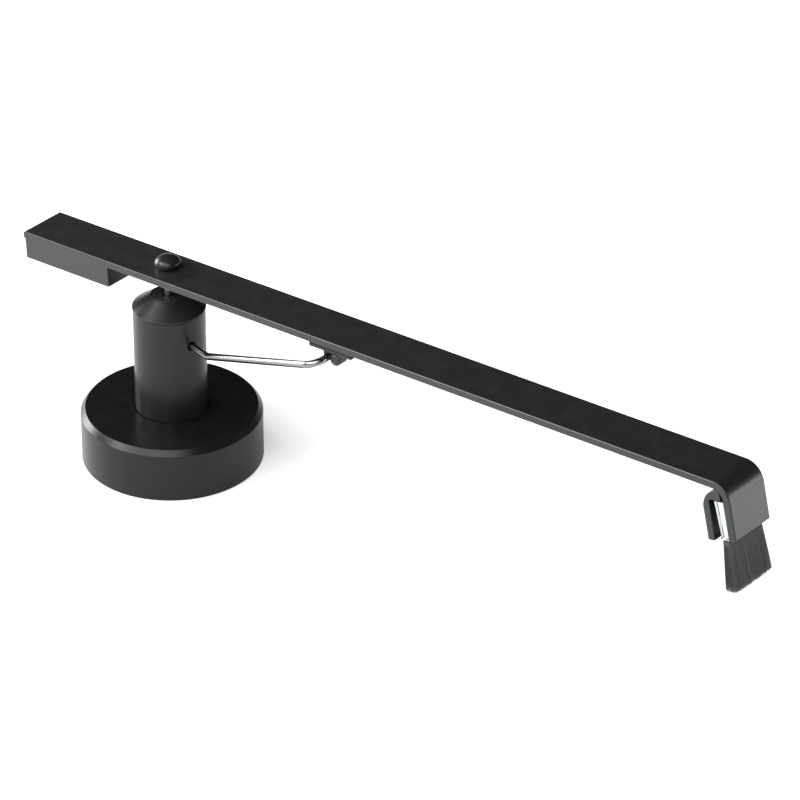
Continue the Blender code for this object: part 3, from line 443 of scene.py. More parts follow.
def add_node(tree, kind, values=None, **settings):
    """A shader node with its settings, and its inputs set or linked."""
    item = tree.nodes.new(kind)
    for name, value in settings.items():
        setattr(item, name, value)
    feed(tree, item, values or {})
    return item


def math_node(tree, operation, first, second):
    """The result of one sum on two values."""
    return add_node(tree, "ShaderNodeMath", {0: first, 1: second}, operation=operation).outputs[0]


def spread_between(tree, value, low, high, first=0.0, last=1.0):
    """Map a value from one range to another."""
    values = {"Value": value, "From Min": first, "From Max": last, "To Min": low, "To Max": high}
    return add_node(tree, "ShaderNodeMapRange", values).outputs["Result"]


def mix_colours(tree, share, first, second):
    """Mix two colours by a share."""
    values = {0: share, 6: first, 7: second}
    return add_node(tree, "ShaderNodeMix", values, data_type="RGBA").outputs[2]


def object_place(tree):
    """The place on a piece, along the piece's own axes."""
    return add_node(tree, "ShaderNodeTexCoord").outputs["Object"]


def noise_value(tree, place, scale, detail, roughness=0.5):
    """The value of a noise at a place."""
    values = {"Vector": place, "Scale": scale, "Detail": detail, "Roughness": roughness}
    return add_node(tree, "ShaderNodeTexNoise", values).outputs["Fac"]


def new_group(name, inputs, output):
    """A shader group with number or vector inputs and one number output."""
    group = bpy.data.node_groups.new(name, "ShaderNodeTree")
    for label, value in inputs.items():
        kind = "NodeSocketVector" if isinstance(value, tuple) else "NodeSocketFloat"
        socket = group.interface.new_socket(name=label, in_out="INPUT", socket_type=kind)
        socket.default_value = value
    group.interface.new_socket(name=output, in_out="OUTPUT", socket_type="NodeSocketFloat")
    return group, group.nodes.new("NodeGroupInput"), group.nodes.new("NodeGroupOutput")


def make_grain_group():
    """Fine even grain, which may be stretched into brush lines."""
    group, source, result = new_group("fine_grain", {"Scale": 1000.0, "Stretch": (1.0, 1.0, 1.0)}, "Height")
    values = {0: object_place(group), 1: source.outputs["Stretch"]}
    stretched = add_node(group, "ShaderNodeVectorMath", values, operation="MULTIPLY").outputs[0]
    noise = noise_value(group, stretched, source.outputs["Scale"], detail=4.0, roughness=0.6)
    feed(group, result, {"Height": noise})
    return group


def make_turning_group():
    """Fine rings that a lathe tool leaves, by distance from the axis and height."""
    group, source, result = new_group("turning_marks", {"Scale": 1000.0}, "Height")
    place = object_place(group)
    flat = add_node(group, "ShaderNodeVectorMath", {0: place, 1: (1.0, 1.0, 0.0)}, operation="MULTIPLY")
    radius = add_node(group, "ShaderNodeVectorMath", {0: flat.outputs[0]}, operation="LENGTH")
    height = add_node(group, "ShaderNodeSeparateXYZ", {0: place}).outputs["Z"]
    values = {"X": radius.outputs["Value"], "Y": height}
    rings = add_node(group, "ShaderNodeCombineXYZ", values).outputs[0]
    noise = noise_value(group, rings, source.outputs["Scale"], detail=3.0)
    feed(group, result, {"Height": noise})
    return group


def make_wear_group():
    """Mask of rubbed edges, broken up by noise."""
    group, source, result = new_group("edge_wear", {"Width": 0.0003, "Amount": 0.5}, "Mask")
    soft = add_node(group, "ShaderNodeBevel", {"Radius": source.outputs["Width"]}, samples=4).outputs[0]
    plain = add_node(group, "ShaderNodeNewGeometry").outputs["Normal"]
    along = add_node(group, "ShaderNodeVectorMath", {0: soft, 1: plain}, operation="DOT_PRODUCT")
    edge = spread_between(group, along.outputs["Value"], low=1.0, high=0.0, first=0.80, last=0.99)
    noise = noise_value(group, object_place(group), scale=700.0, detail=3.0)
    broken = spread_between(group, noise, low=0.0, high=1.0, first=0.35, last=0.70)
    worn = math_node(group, "MULTIPLY", edge, broken)
    feed(group, result, {"Mask": math_node(group, "MULTIPLY", worn, source.outputs["Amount"])})
    return group


def make_dust_group():
    """Mask of a faint film of dust on what faces up."""
    group, source, result = new_group("settled_dust", {"Amount": 0.1}, "Mask")
    normal = add_node(group, "ShaderNodeNewGeometry").outputs["Normal"]
    upward = add_node(group, "ShaderNodeSeparateXYZ", {0: normal}).outputs["Z"]
    facing = spread_between(group, upward, low=0.0, high=1.0, first=0.4, last=1.0)
    noise = noise_value(group, object_place(group), scale=260.0, detail=6.0)
    patches = spread_between(group, noise, low=0.0, high=1.0, first=0.40, last=0.75)
    film = math_node(group, "MULTIPLY", facing, patches)
    feed(group, result, {"Mask": math_node(group, "MULTIPLY", film, source.outputs["Amount"])})
    return group


def group_value(tree, group, **values):
    """The output of a group placed in a material with its own values."""
    return add_node(tree, "ShaderNodeGroup", values, node_tree=group).outputs[0]


def new_material(name):
    """A material, its node tree and its Principled shader."""
    material = bpy.data.materials.new(name)
    material.use_nodes = True
    return material, material.node_tree, material.node_tree.nodes["Principled BSDF"]


def shade(colour, factor):
    """A colour made lighter or darker by a factor, with full alpha."""
    return (colour[0] * factor, colour[1] * factor, colour[2] * factor, 1.0)


def bump_normal(tree, height, depth):
    """The normal of a surface that a height pattern raises a little."""
    values = {"Height": height, "Distance": depth, "Strength": 1.0}
    return add_node(tree, "ShaderNodeBump", values).outputs["Normal"]


def surface_finish(
    name, pattern, grain, inputs, colour, worn, roughness, spread, depth, wear=0.0, dust=0.0,
    variation=TONE_VARIATION,
):
    """A material with colour, roughness and bump from a pattern, and with worn edges and dust."""
    material, tree, shader = new_material(name)
    height = group_value(tree, GROUPS[pattern], **grain)
    rubbed = group_value(tree, GROUPS["wear"], Width=WEAR_WIDTH, Amount=wear)
    film = group_value(tree, GROUPS["dust"], Amount=dust)
    tone = mix_colours(tree, height, shade(colour, 1.0 - variation), shade(colour, 1.0 + variation))
    tone = mix_colours(tree, rubbed, tone, shade(worn, 1.0))
    tone = mix_colours(tree, film, tone, shade(DUST_COLOUR, 1.0))
    rough = spread_between(tree, height, low=roughness - spread, high=roughness + spread)
    rough = math_node(tree, "ADD", rough, math_node(tree, "MULTIPLY", film, DUST_ROUGHENING))
    normal = bump_normal(tree, height, depth)
    feed(tree, shader, {"Base Color": tone, "Roughness": rough, "Normal": normal, **inputs})
    return material


# Shared effects
GROUPS = {
    "grain": make_grain_group(),
    "turning": make_turning_group(),
    "wear": make_wear_group(),
    "dust": make_dust_group(),
}


def anodised_black(name, pattern, grain, index, roughness):
    """Satin black anodised aluminium over a blasted or turned pattern."""
    return surface_finish(
        name, pattern, grain, {"IOR": index}, colour=(0.0090, 0.0094, 0.0102), worn=(0.11, 0.11, 0.115),
        roughness=roughness, spread=0.04, depth=0.0000006, wear=0.35, dust=0.02,
    )


def blasted_black():
    """Anodised finish of the bar, blasted with a faint lengthwise grain."""
    grain = {"Scale": 5200.0, "Stretch": (0.25, 1.0, 1.0)}
    return anodised_black("black_anodised_bar", "grain", grain, index=1.60, roughness=0.36)


def turned_black():
    """Anodised finish of the turned pieces."""
    return anodised_black("black_anodised_post", "turning", {"Scale": 5200.0}, index=1.38, roughness=0.30)


def coated_black():
    """Satin black coat on the turned steel base."""
    return surface_finish(
        "black_coat", "turning", {"Scale": 3600.0}, {"IOR": 1.38}, colour=(0.0040, 0.0042, 0.0045),
        worn=(0.10, 0.10, 0.10), roughness=0.30, spread=0.04, depth=0.0000006, wear=0.30, dust=0.01,
    )


def polished_steel():
    """Bright drawn steel with fine lengthwise lines."""
    grain = {"Scale": 3000.0, "Stretch": (0.12, 1.0, 1.0)}
    return surface_finish(
        "polished_steel", "grain", grain, {"Metallic": 1.0}, colour=(0.27, 0.265, 0.26),
        worn=(0.70, 0.69, 0.67), roughness=0.20, spread=0.05, depth=0.0000006, wear=0.2,
    )


def blackened_steel():
    """Oil blackened steel of the screws and the nut."""
    return surface_finish(
        "oil_black_steel", "grain", {"Scale": 4200.0}, {"Metallic": 0.85}, colour=(0.045, 0.045, 0.050),
        worn=(0.22, 0.22, 0.22), roughness=0.38, spread=0.08, depth=0.0000015, wear=0.5, dust=0.02,
    )


def chrome_plate():
    """Bright plating with a faint uneven polish."""
    grain = {"Scale": 900.0, "Stretch": (1.0, 1.0, 0.3)}
    return surface_finish(
        "bright_chrome", "grain", grain, {"Metallic": 1.0}, colour=(0.72, 0.73, 0.74),
        worn=(0.80, 0.80, 0.80), roughness=0.07, spread=0.03, depth=0.0000008,
    )


def bearing_bronze():
    """Turned bronze of the hidden bearing."""
    return surface_finish(
        "turned_bronze", "turning", {"Scale": 4000.0}, {"Metallic": 1.0}, colour=(0.50, 0.33, 0.15),
        worn=(0.62, 0.45, 0.25), roughness=0.32, spread=0.06, depth=0.0000015, wear=0.2,
    )


def black_polymer(name, scale, depth):
    """Moulded black plastic with a spark eroded grain of a given fineness and depth."""
    return surface_finish(
        name, "grain", {"Scale": scale}, {"IOR": 1.49}, colour=(0.014, 0.014, 0.015),
        worn=(0.09, 0.09, 0.09), roughness=0.42, spread=0.08, depth=depth, wear=0.5, dust=0.03,
    )


def dark_rubber():
    """Matt rubber of the foot."""
    return surface_finish(
        "dark_rubber", "grain", {"Scale": 1800.0}, {"IOR": 1.45}, colour=(0.018, 0.018, 0.018),
        worn=(0.04, 0.04, 0.04), roughness=0.82, spread=0.08, depth=0.00001, wear=0.1, variation=0.2,
    )


def adhesive_foam():
    """Open celled dark foam of the adhesive pads."""
    return surface_finish(
        "adhesive_foam", "grain", {"Scale": 1500.0}, {"IOR": 1.45}, colour=(0.030, 0.030, 0.029),
        worn=(0.05, 0.05, 0.05), roughness=0.80, spread=0.10, depth=0.00012, variation=0.5,
    )


def dark_hair():
    """Dark brush hair whose tone changes from strand to strand and along each strand."""
    material, tree, shader = new_material("dark_hair_strands")
    tone = add_node(tree, "ShaderNodeAttribute", attribute_name="strand_tone").outputs["Fac"]
    grain = group_value(tree, GROUPS["grain"], Scale=900.0, Stretch=(1.0, 1.0, 0.25))
    lifted = math_node(tree, "MULTIPLY", tone, spread_between(tree, grain, low=0.6, high=1.4))
    colour = mix_colours(tree, lifted, shade(HAIR_DARK, 1.0), shade(HAIR_LIGHT, 1.0))
    rough = spread_between(tree, grain, low=0.34, high=0.52)
    normal = bump_normal(tree, grain, depth=0.000004)
    feed(tree, shader, {
        "Base Color": colour, "Roughness": rough, "Normal": normal, "IOR": 1.55, "Sheen Weight": 0.15,
    })
    return material


def make_foot_pad(rubber):
    """Rubber disc under the base."""
    outline = [
        (0.0, FOOT_PAD_THICKNESS, 0),
        (FOOT_PAD_RADIUS, FOOT_PAD_THICKNESS, SMALL_EDGE),
        (FOOT_PAD_RADIUS, 0.0, SMALL_EDGE),
        (0.0, 0.0, 0),
    ]
    item = piece("foot_disc", turned(rounded(outline), LARGE_ROUND_STEPS, False), rubber)
    place_and_shade(item)
    belongs(item, "base", "black_rubber", "foot_pad")


def make_base(coat):
    """Heavy disc with a chamfered top edge, a bore for the column and a recess for the pad."""
    screw_top = SCREW_LEVEL + HEIGHT_SCREW_RADIUS + SEAT_GAP + FINE_EDGE
    screw_foot = SCREW_LEVEL - HEIGHT_SCREW_RADIUS - SEAT_GAP - FINE_EDGE
    outline = [
        (0.0, BASE_BORE_FLOOR, 0),
        (BASE_BORE_RADIUS, BASE_BORE_FLOOR, FINE_EDGE),
        (BASE_BORE_RADIUS, BASE_TOP, SMALL_EDGE),
        (BASE_RADIUS - BASE_CHAMFER_WIDTH, BASE_TOP, BASE_EDGE),
        (BASE_RADIUS, BASE_TOP - BASE_CHAMFER_HEIGHT, BASE_EDGE),
        (BASE_RADIUS, screw_top, 0),
        (BASE_RADIUS, screw_foot, 0),
        (BASE_RADIUS, BASE_STANDOFF, BASE_EDGE),
        (FOOT_PAD_RADIUS + SEAT_GAP, BASE_STANDOFF, FINE_EDGE),
        (FOOT_PAD_RADIUS + SEAT_GAP, RECESS_CEILING, FINE_EDGE),
        (0.0, RECESS_CEILING, 0),
    ]
    item = piece("base_disc", turned(rounded(outline), LARGE_ROUND_STEPS, False), coat)
    start = Vector((-COLUMN_RADIUS, 0.0, SCREW_LEVEL))
    bore(item, HEIGHT_SCREW_RADIUS + SEAT_GAP, start, REARWARD, BASE_RADIUS - COLUMN_RADIUS + CUT_OVERRUN)
    place_and_shade(item)
    belongs(item, "base", "black_coated_steel", "base_weight")


def bar_place():
    """Frame of the parked bar, with its origin on the pivot."""
    return Matrix.Translation((0.0, 0.0, PIVOT_HEIGHT)) @ Matrix.Rotation(-TILT, 4, "Y")


def bar_bend():
    """Turn of the bend, straight lengths before and after it, and its centre in the bar's frame."""
    turn = math.radians(90.0) - LEAN
    tangent = BAR_BEND_RADIUS * math.tan(turn / 2)
    straight = BAR_REAR + BAR_FRONT - tangent
    flap = FLAP_DROP / math.cos(LEAN) - tangent
    return turn, straight, flap, Vector((BAR_FRONT - tangent, BAR_TOP_LEVEL - BAR_BEND_RADIUS))


def flap_foot():
    """Lower edge of the flap's inner face in the bar's frame."""
    _, _, flap, centre = bar_bend()
    outward = Vector((math.cos(LEAN), math.sin(LEAN)))
    down = Vector((math.sin(LEAN), -math.cos(LEAN)))
    return centre + outward * (BAR_BEND_RADIUS - BAR_THICKNESS) + down * flap


def brush_place():
    """Frame of the brush, with its origin at the foot of the flap and Z up along the flap."""
    foot = flap_foot()
    return bar_place() @ Matrix.Translation((foot.x, 0.0, foot.y)) @ Matrix.Rotation(-LEAN, 4, "Y")


def rest_corner():
    """Corner where the rising wire turns to run under the bar."""
    groove = bar_place() @ Vector((REST_DISTANCE, 0.0, GROOVE_LEVEL))
    return Vector((groove.x, -REST_BAR_START, groove.z))


def wire_heading():
    """Level direction in which the wire leaves the column."""
    corner = rest_corner()
    return Vector((corner.x, corner.y, 0.0)).normalized()


def make_column(finish):
    """Turned post with its bore and the cross holes for the wire and its screw."""
    socket = CAP_SPIGOT_RADIUS + SEAT_GAP
    socket_floor = COLUMN_TOP - CAP_SPIGOT_LENGTH - SEAT_GAP
    hole_top = WIRE_HOLE_HEIGHT + REST_SCREW_RADIUS + 2 * SEAT_GAP
    hole_foot = WIRE_HOLE_HEIGHT - REST_SCREW_RADIUS - 2 * SEAT_GAP
    outline = [
        (COLUMN_RADIUS, COLUMN_TOP, COLUMN_EDGE),
        (COLUMN_RADIUS, hole_top, 0),
        (COLUMN_RADIUS, hole_foot, 0),
        (COLUMN_RADIUS, COLUMN_FOOT, COLUMN_EDGE),
        (COLUMN_BORE_RADIUS, COLUMN_FOOT, FINE_EDGE),
        (COLUMN_BORE_RADIUS, socket_floor, FINE_EDGE),
        (socket, socket_floor, FINE_EDGE),
        (socket, COLUMN_TOP, FINE_EDGE),
    ]
    item = piece("column_post", turned(rounded(outline), ROUND_STEPS, True), finish)
    heading = wire_heading()
    level = UPWARD * WIRE_HOLE_HEIGHT
    start = heading * (COLUMN_RADIUS - WIRE_INSERTION - SEAT_GAP) + level
    bore(item, WIRE_HOLE_RADIUS, start, heading, WIRE_INSERTION + CUT_OVERRUN)
    sideways = Vector((-heading.y, heading.x, 0.0))
    from_axis = COLUMN_BORE_RADIUS + REST_SCREW_WALL + REST_SCREW_RADIUS + SEAT_GAP
    crossing = heading * from_axis + level
    bore(item, REST_SCREW_RADIUS + SEAT_GAP, crossing, sideways, COLUMN_RADIUS)
    place_and_shade(item)
    belongs(item, "column", "black_anodised", "column")


def make_cap(finish):
    """Conical cap with a thin lip over the column and a seat for the bush."""
    outer = COLUMN_RADIUS + CAP_OVERHANG
    seat = CAP_TOP_RADIUS - CAP_RIM
    seat_floor = CAP_TOP - BUSH_FLANGE_THICKNESS - SEAT_GAP
    bush_bore = BUSH_BODY_RADIUS + SEAT_GAP
    spigot_end = CAP_SEAT - CAP_SPIGOT_LENGTH
    outline = [
        (seat, CAP_TOP, FINE_EDGE),
        (CAP_TOP_RADIUS, CAP_TOP, FINE_EDGE),
        (outer, CAP_SEAT + CAP_LIP_HEIGHT, SMALL_EDGE),
        (outer, CAP_SEAT, FINE_EDGE),
        (CAP_SPIGOT_RADIUS, CAP_SEAT, FINE_EDGE),
        (CAP_SPIGOT_RADIUS, spigot_end, FINE_EDGE),
        (bush_bore, spigot_end, FINE_EDGE),
        (bush_bore, seat_floor, FINE_EDGE),
        (seat, seat_floor, FINE_EDGE),
    ]
    item = piece("column_cone", turned(rounded(outline), ROUND_STEPS, True), finish)
    place_and_shade(item)
    belongs(item, "column", "black_anodised", "column_cap")


def make_upper_bush(polymer):
    """Flanged bush in the top of the cone."""
    flange = CAP_TOP_RADIUS - CAP_RIM - SEAT_GAP
    under_flange = CAP_TOP - BUSH_FLANGE_THICKNESS
    outline = [
        (flange, CAP_TOP, FINE_EDGE),
        (flange, under_flange, FINE_EDGE),
        (BUSH_BODY_RADIUS, under_flange, FINE_EDGE),
        (BUSH_BODY_RADIUS, CAP_TOP - BUSH_LENGTH, FINE_EDGE),
        (BUSH_BORE_RADIUS, CAP_TOP - BUSH_LENGTH, FINE_EDGE),
        (BUSH_BORE_RADIUS, CAP_TOP, SMALL_EDGE),
    ]
    item = piece("bush_disc", turned(rounded(outline), ROUND_STEPS, True), polymer)
    place_and_shade(item)
    belongs(item, "column", "black_polymer", "upper_bush")


def make_wire(steel):
    """Bent wire with a rounded free end."""
    corner = rest_corner()
    heading = wire_heading()
    level = UPWARD * WIRE_HOLE_HEIGHT
    start = heading * (COLUMN_RADIUS - WIRE_INSERTION) + level
    knee = heading * WIRE_STUB_REACH + level
    end = Vector((corner.x, REST_BAR_END, corner.z))
    path = [start]
    path += corner_arc(start, knee, corner, WIRE_BEND_RADIUS, BEND_STEPS)
    path += corner_arc(knee, corner, end, WIRE_BEND_RADIUS, BEND_STEPS)
    path.append(end)
    form = bmesh.new()
    ring = bmesh.ops.create_circle(form, segments=SMALL_ROUND_STEPS // 2, radius=WIRE_RADIUS, cap_ends=True)
    turn = heading.to_track_quat("Z", "Y").to_matrix().to_4x4()
    bmesh.ops.transform(form, matrix=Matrix.Translation(start) @ turn, verts=ring["verts"])
    face = form.faces[:][0]
    for index in range(1, len(path)):
        face = advance_ring(form, face, path, index)
    bevel(form, face.edges[:], WIRE_RADIUS / 4, 3)
    item = piece("bent_rest_wire", form, steel)
    place_and_shade(item)
    belongs(item, "column", "bright_steel", "rest_wire")


def path_direction(path, index):
    """Direction of a path at one of its points."""
    last = len(path) - 1
    return (path[min(index + 1, last)] - path[max(index - 1, 0)]).normalized()


def advance_ring(form, face, path, index):
    """Extrude the end of the wire to the next point of its path, square to it."""
    turn = path_direction(path, index - 1).rotation_difference(path_direction(path, index))
    if index == 1:
        turn = (path[1] - path[0]).rotation_difference(path_direction(path, 1))
    raised = bmesh.ops.extrude_discrete_faces(form, faces=[face])["faces"][0]
    step = Matrix.Translation(path[index]) @ turn.to_matrix().to_4x4() @ Matrix.Translation(-path[index - 1])
    bmesh.ops.transform(form, matrix=step, verts=raised.verts[:])
    return raised


def make_spindle(steel):
    """Turned pin with a slim neck and a ball head."""
    neck_foot = PIVOT_HEIGHT - SPINDLE_NECK_LENGTH
    start = math.radians(90.0)
    end = -math.acos(SPINDLE_NECK_RADIUS / SPINDLE_HEAD_RADIUS)
    head = arc_points((0.0, PIVOT_HEIGHT), SPINDLE_HEAD_RADIUS, start, end, BEND_STEPS)
    head[0] = Vector((0.0, PIVOT_HEIGHT + SPINDLE_HEAD_RADIUS))
    shank = rounded([
        (SPINDLE_NECK_RADIUS, head[-1].y, 0),
        (SPINDLE_NECK_RADIUS, neck_foot, SMALL_EDGE),
        (SPINDLE_RADIUS, neck_foot - SPINDLE_TAPER_LENGTH, SMALL_EDGE),
        (SPINDLE_RADIUS, SPINDLE_FOOT, FINE_EDGE),
        (0.0, SPINDLE_FOOT, 0),
    ])
    item = piece("pivot_pin", turned(head[:-1] + shank, SMALL_ROUND_STEPS, False), steel)
    place_and_shade(item)
    belongs(item, "spindle", "bright_steel", "spindle")


def make_bar(finish):
    """Flat bar with its front end bent down into the flap, and its edges finely rounded."""
    turn, straight, flap, centre = bar_bend()
    top = math.pi / 2
    outer = arc_points(centre, BAR_BEND_RADIUS, top, top - turn, BEND_STEPS)
    inner = arc_points(centre, BAR_BEND_RADIUS - BAR_THICKNESS, top, top - turn, BEND_STEPS)
    down = Vector((math.sin(LEAN), -math.cos(LEAN))) * flap
    rear = Vector((-BAR_REAR, BAR_TOP_LEVEL))
    below = Vector((0.0, -BAR_THICKNESS))
    points = [rear] + outer + [outer[-1] + down, inner[-1] + down] + inner[::-1] + [rear + below]
    form = plate(points, BAR_WIDTH, len(outer) + 2)
    break_edges(form, BAR_EDGE, 4, True)
    item = piece("flat_bar", form, finish)
    start = Vector((0.0, 0.0, BAR_UNDERSIDE - CUT_OVERRUN))
    bore(item, SPIGOT_RADIUS + SEAT_GAP, start, UPWARD, BAR_THICKNESS + 2 * CUT_OVERRUN)
    place_and_shade(item, bar_place())
    belongs(item, "arm", "black_anodised", "arm_bar")


def neck_room(depth):
    """Radius that lets the neck of the pin lean at a depth below the pivot."""
    lean = TILT + LIFT_ANGLE
    return depth * math.tan(lean) + SPINDLE_NECK_RADIUS / math.cos(lean) + NECK_CLEARANCE


def make_dome_nut(finish):
    """Domed nut with its spigot and the flared room for the pin."""
    foot = BAR_TOP_LEVEL + SEAT_GAP
    skirt = foot + DOME_SKIRT
    rise = DOME_HEIGHT - DOME_SKIRT
    head_room = SPINDLE_HEAD_RADIUS + SEAT_GAP
    dome = []
    for step in range(BEND_STEPS + 1):
        angle = math.radians(90.0) * (1 - step / BEND_STEPS)
        dome.append(Vector((DOME_RADIUS * math.cos(angle), skirt + rise * math.sin(angle))))
    dome[0] = Vector((0.0, skirt + rise))
    rest = rounded([
        (DOME_RADIUS, skirt, 0),
        (DOME_FOOT_RADIUS, foot, SMALL_EDGE),
        (SPIGOT_RADIUS, foot, FINE_EDGE),
        (SPIGOT_RADIUS, NUT_UNDERSIDE, FINE_EDGE),
        (neck_room(-NUT_UNDERSIDE), NUT_UNDERSIDE, FINE_EDGE),
        (head_room, -SPINDLE_NECK_RADIUS, 0),
        (head_room, head_room, 0),
        (0.0, head_room, 0),
    ])
    item = piece("domed_nut", turned(dome[:-1] + rest, ROUND_STEPS, False), finish)
    place_and_shade(item, bar_place())
    belongs(item, "arm", "black_anodised", "dome_nut")


def make_counterweight(finish):
    """Block under the rear end with finely rounded edges and a pocket for the bonding sheet."""
    top = BAR_UNDERSIDE - WEIGHT_JOINT
    low = Vector((-BAR_REAR + WEIGHT_INSET, -BAR_WIDTH / 2, BAR_UNDERSIDE - SEAT_GAP - WEIGHT_DEPTH))
    high = Vector((low.x + WEIGHT_LENGTH, BAR_WIDTH / 2, top))
    form = block(low, high)
    upper = max(form.faces, key=lambda face: face.calc_center_median().z)
    rims = [edge for edge in form.edges if edge not in upper.edges[:]]
    bevel(form, rims, WEIGHT_EDGE, 4)
    upper = max(form.faces, key=lambda face: face.calc_center_median().z)
    bmesh.ops.inset_region(form, faces=[upper], thickness=TAPE_MARGIN)
    bmesh.ops.translate(form, verts=upper.verts[:], vec=(0.0, 0.0, -TAPE_THICKNESS - 2 * SEAT_GAP))
    item = piece("rear_block", form, finish)
    place_and_shade(item, bar_place())
    belongs(item, "arm", "black_coated_steel", "counterweight")


def pad_block(foot, top):
    """Box with the outline of the rest pad, between two levels of the bar's frame."""
    middle = REST_DISTANCE + REST_PAD_OFFSET
    low = Vector((middle - REST_PAD_LENGTH / 2, -REST_PAD_WIDTH / 2, foot))
    return block(low, Vector((middle + REST_PAD_LENGTH / 2, REST_PAD_WIDTH / 2, top)))


def make_rest_pad(foam):
    """Adhesive pad with slightly ragged cut sides."""
    form = pad_block(REST_PAD_LEVEL - REST_PAD_THICKNESS, REST_PAD_LEVEL + SEAT_GAP / 2)
    break_edges(form, SMALL_EDGE, 2)
    bmesh.ops.subdivide_edges(
        form, edges=[edge for edge in form.edges if edge.calc_length() > REST_PAD_WIDTH / 2],
        cuts=PAD_CUTS, use_grid_fill=True,
    )
    draw = random.Random(PAD_SEED)
    for corner in form.verts:
        corner.co.x += draw.uniform(-PAD_RAGGED, PAD_RAGGED)
        corner.co.y += draw.uniform(-PAD_RAGGED, PAD_RAGGED)
    item = piece("foam_pad", form, foam)
    place_and_shade(item, bar_place())
    belongs(item, "arm", "adhesive_foam", "rest_pad")


def saddle_outline():
    """Side view of the saddle under its plate: a groove over the wire and a round lobe."""
    roof = REST_PLATE_LEVEL - REST_PLATE_THICKNESS / 2
    groove = (REST_DISTANCE, GROOVE_LEVEL)
    lobe = (REST_DISTANCE + SADDLE_LOBE_OFFSET, GROOVE_LEVEL - SADDLE_LOBE_DROP)
    rear = REST_DISTANCE - SADDLE_GROOVE_RADIUS - SADDLE_WALL
    lobe_end = -math.acos((SADDLE_GROOVE_RADIUS - SADDLE_LOBE_OFFSET) / SADDLE_LOBE_RADIUS)
    points = [Vector((rear, roof)), Vector((lobe[0] + SADDLE_LOBE_RADIUS, roof))]
    points += arc_points(lobe, SADDLE_LOBE_RADIUS, 0.0, lobe_end, BEND_STEPS)
    points += arc_points(groove, SADDLE_GROOVE_RADIUS, 0.0, math.pi, BEND_STEPS)
    points.append(Vector((rear, GROOVE_LEVEL)))
    return points


def rounded_knob(polymer):
    """Round end of the saddle with a soft edge and a dimple in its face."""
    front = SADDLE_DEPTH / 2
    back = SADDLE_SETBACK - SADDLE_DEPTH / 2
    outline = [
        (0.0, front - KNOB_DIMPLE_DEPTH, 0),
        (KNOB_DIMPLE_RADIUS - KNOB_DIMPLE_DEPTH, front - KNOB_DIMPLE_DEPTH, 0),
        (KNOB_DIMPLE_RADIUS, front, FINE_EDGE),
        (KNOB_RADIUS, front, KNOB_EDGE),
        (KNOB_RADIUS, back, FINE_EDGE),
        (0.0, back, 0),
    ]
    lobe = turned(rounded(outline), SMALL_ROUND_STEPS, False)
    place = (REST_DISTANCE + SADDLE_LOBE_OFFSET, saddle_middle(), GROOVE_LEVEL - SADDLE_LOBE_DROP)
    turn = Matrix.Rotation(math.radians(90.0), 4, "X")
    bmesh.ops.transform(lobe, matrix=Matrix.Translation(place) @ turn, verts=lobe.verts)
    return piece("saddle_lobe", lobe, polymer)


def saddle_middle():
    """Place of the saddle's middle across the bar."""
    return SADDLE_INSET + SADDLE_DEPTH / 2 - REST_PAD_WIDTH / 2


def make_rest_clip(polymer):
    """Moulded plate with its saddle, whose lobe ends in a rounded knob."""
    form = pad_block(REST_PLATE_LEVEL - REST_PLATE_THICKNESS, REST_PLATE_LEVEL)
    break_edges(form, SMALL_EDGE)
    item = piece("wire_saddle", form, polymer)
    saddle = plate(saddle_outline(), SADDLE_DEPTH - SADDLE_SETBACK)
    break_edges(saddle, SMALL_EDGE)
    bmesh.ops.translate(saddle, verts=saddle.verts, vec=(0.0, saddle_middle() + SADDLE_SETBACK / 2, 0.0))
    combine(item, piece("saddle_half", saddle, polymer), "UNION")
    combine(item, rounded_knob(polymer), "UNION")
    place_and_shade(item, bar_place())
    belongs(item, "arm", "black_polymer", "rest_clip")


def clip_outline():
    """Side view of the clip: leg, round crown under the bend of the bar, and square inner corner."""
    _, _, flap, _ = bar_bend()
    inner = -CLIP_LEG_SPACE
    outer = inner - CLIP_THICKNESS
    ceiling = FERRULE_HEIGHT + CLIP_HEADROOM
    crown = Vector((outer + CLIP_CROWN_RADIUS, CLIP_SHOULDER))
    bend = Vector((BAR_THICKNESS - BAR_BEND_RADIUS, flap))
    reach = BAR_BEND_RADIUS - BAR_THICKNESS - SEAT_GAP
    between = bend - crown
    along = (between.length_squared + CLIP_CROWN_RADIUS ** 2 - reach ** 2) / (2 * between.length)
    across = math.sqrt(CLIP_CROWN_RADIUS ** 2 - along ** 2)
    unit = between.normalized()
    meeting = crown + unit * along + Vector((unit.y, -unit.x)) * across
    crown_end = math.atan2(meeting.y - crown.y, meeting.x - crown.x)
    bend_start = math.atan2(meeting.y - bend.y, meeting.x - bend.x)
    bend_end = math.acos((-CLIP_END_GAP - bend.x) / reach)
    corner = (inner + CLIP_INNER_RADIUS, ceiling - CLIP_INNER_RADIUS)
    points = [Vector((inner, -CLIP_OVERHANG)), Vector((outer, -CLIP_OVERHANG))]
    points += arc_points(crown, CLIP_CROWN_RADIUS, math.pi, crown_end, BEND_STEPS)
    points += arc_points(bend, reach, bend_start, bend_end, CORNER_STEPS)[1:]
    points.append(Vector((-CLIP_END_GAP, ceiling)))
    points += arc_points(corner, CLIP_INNER_RADIUS, math.pi / 2, math.pi, CORNER_STEPS)
    return points


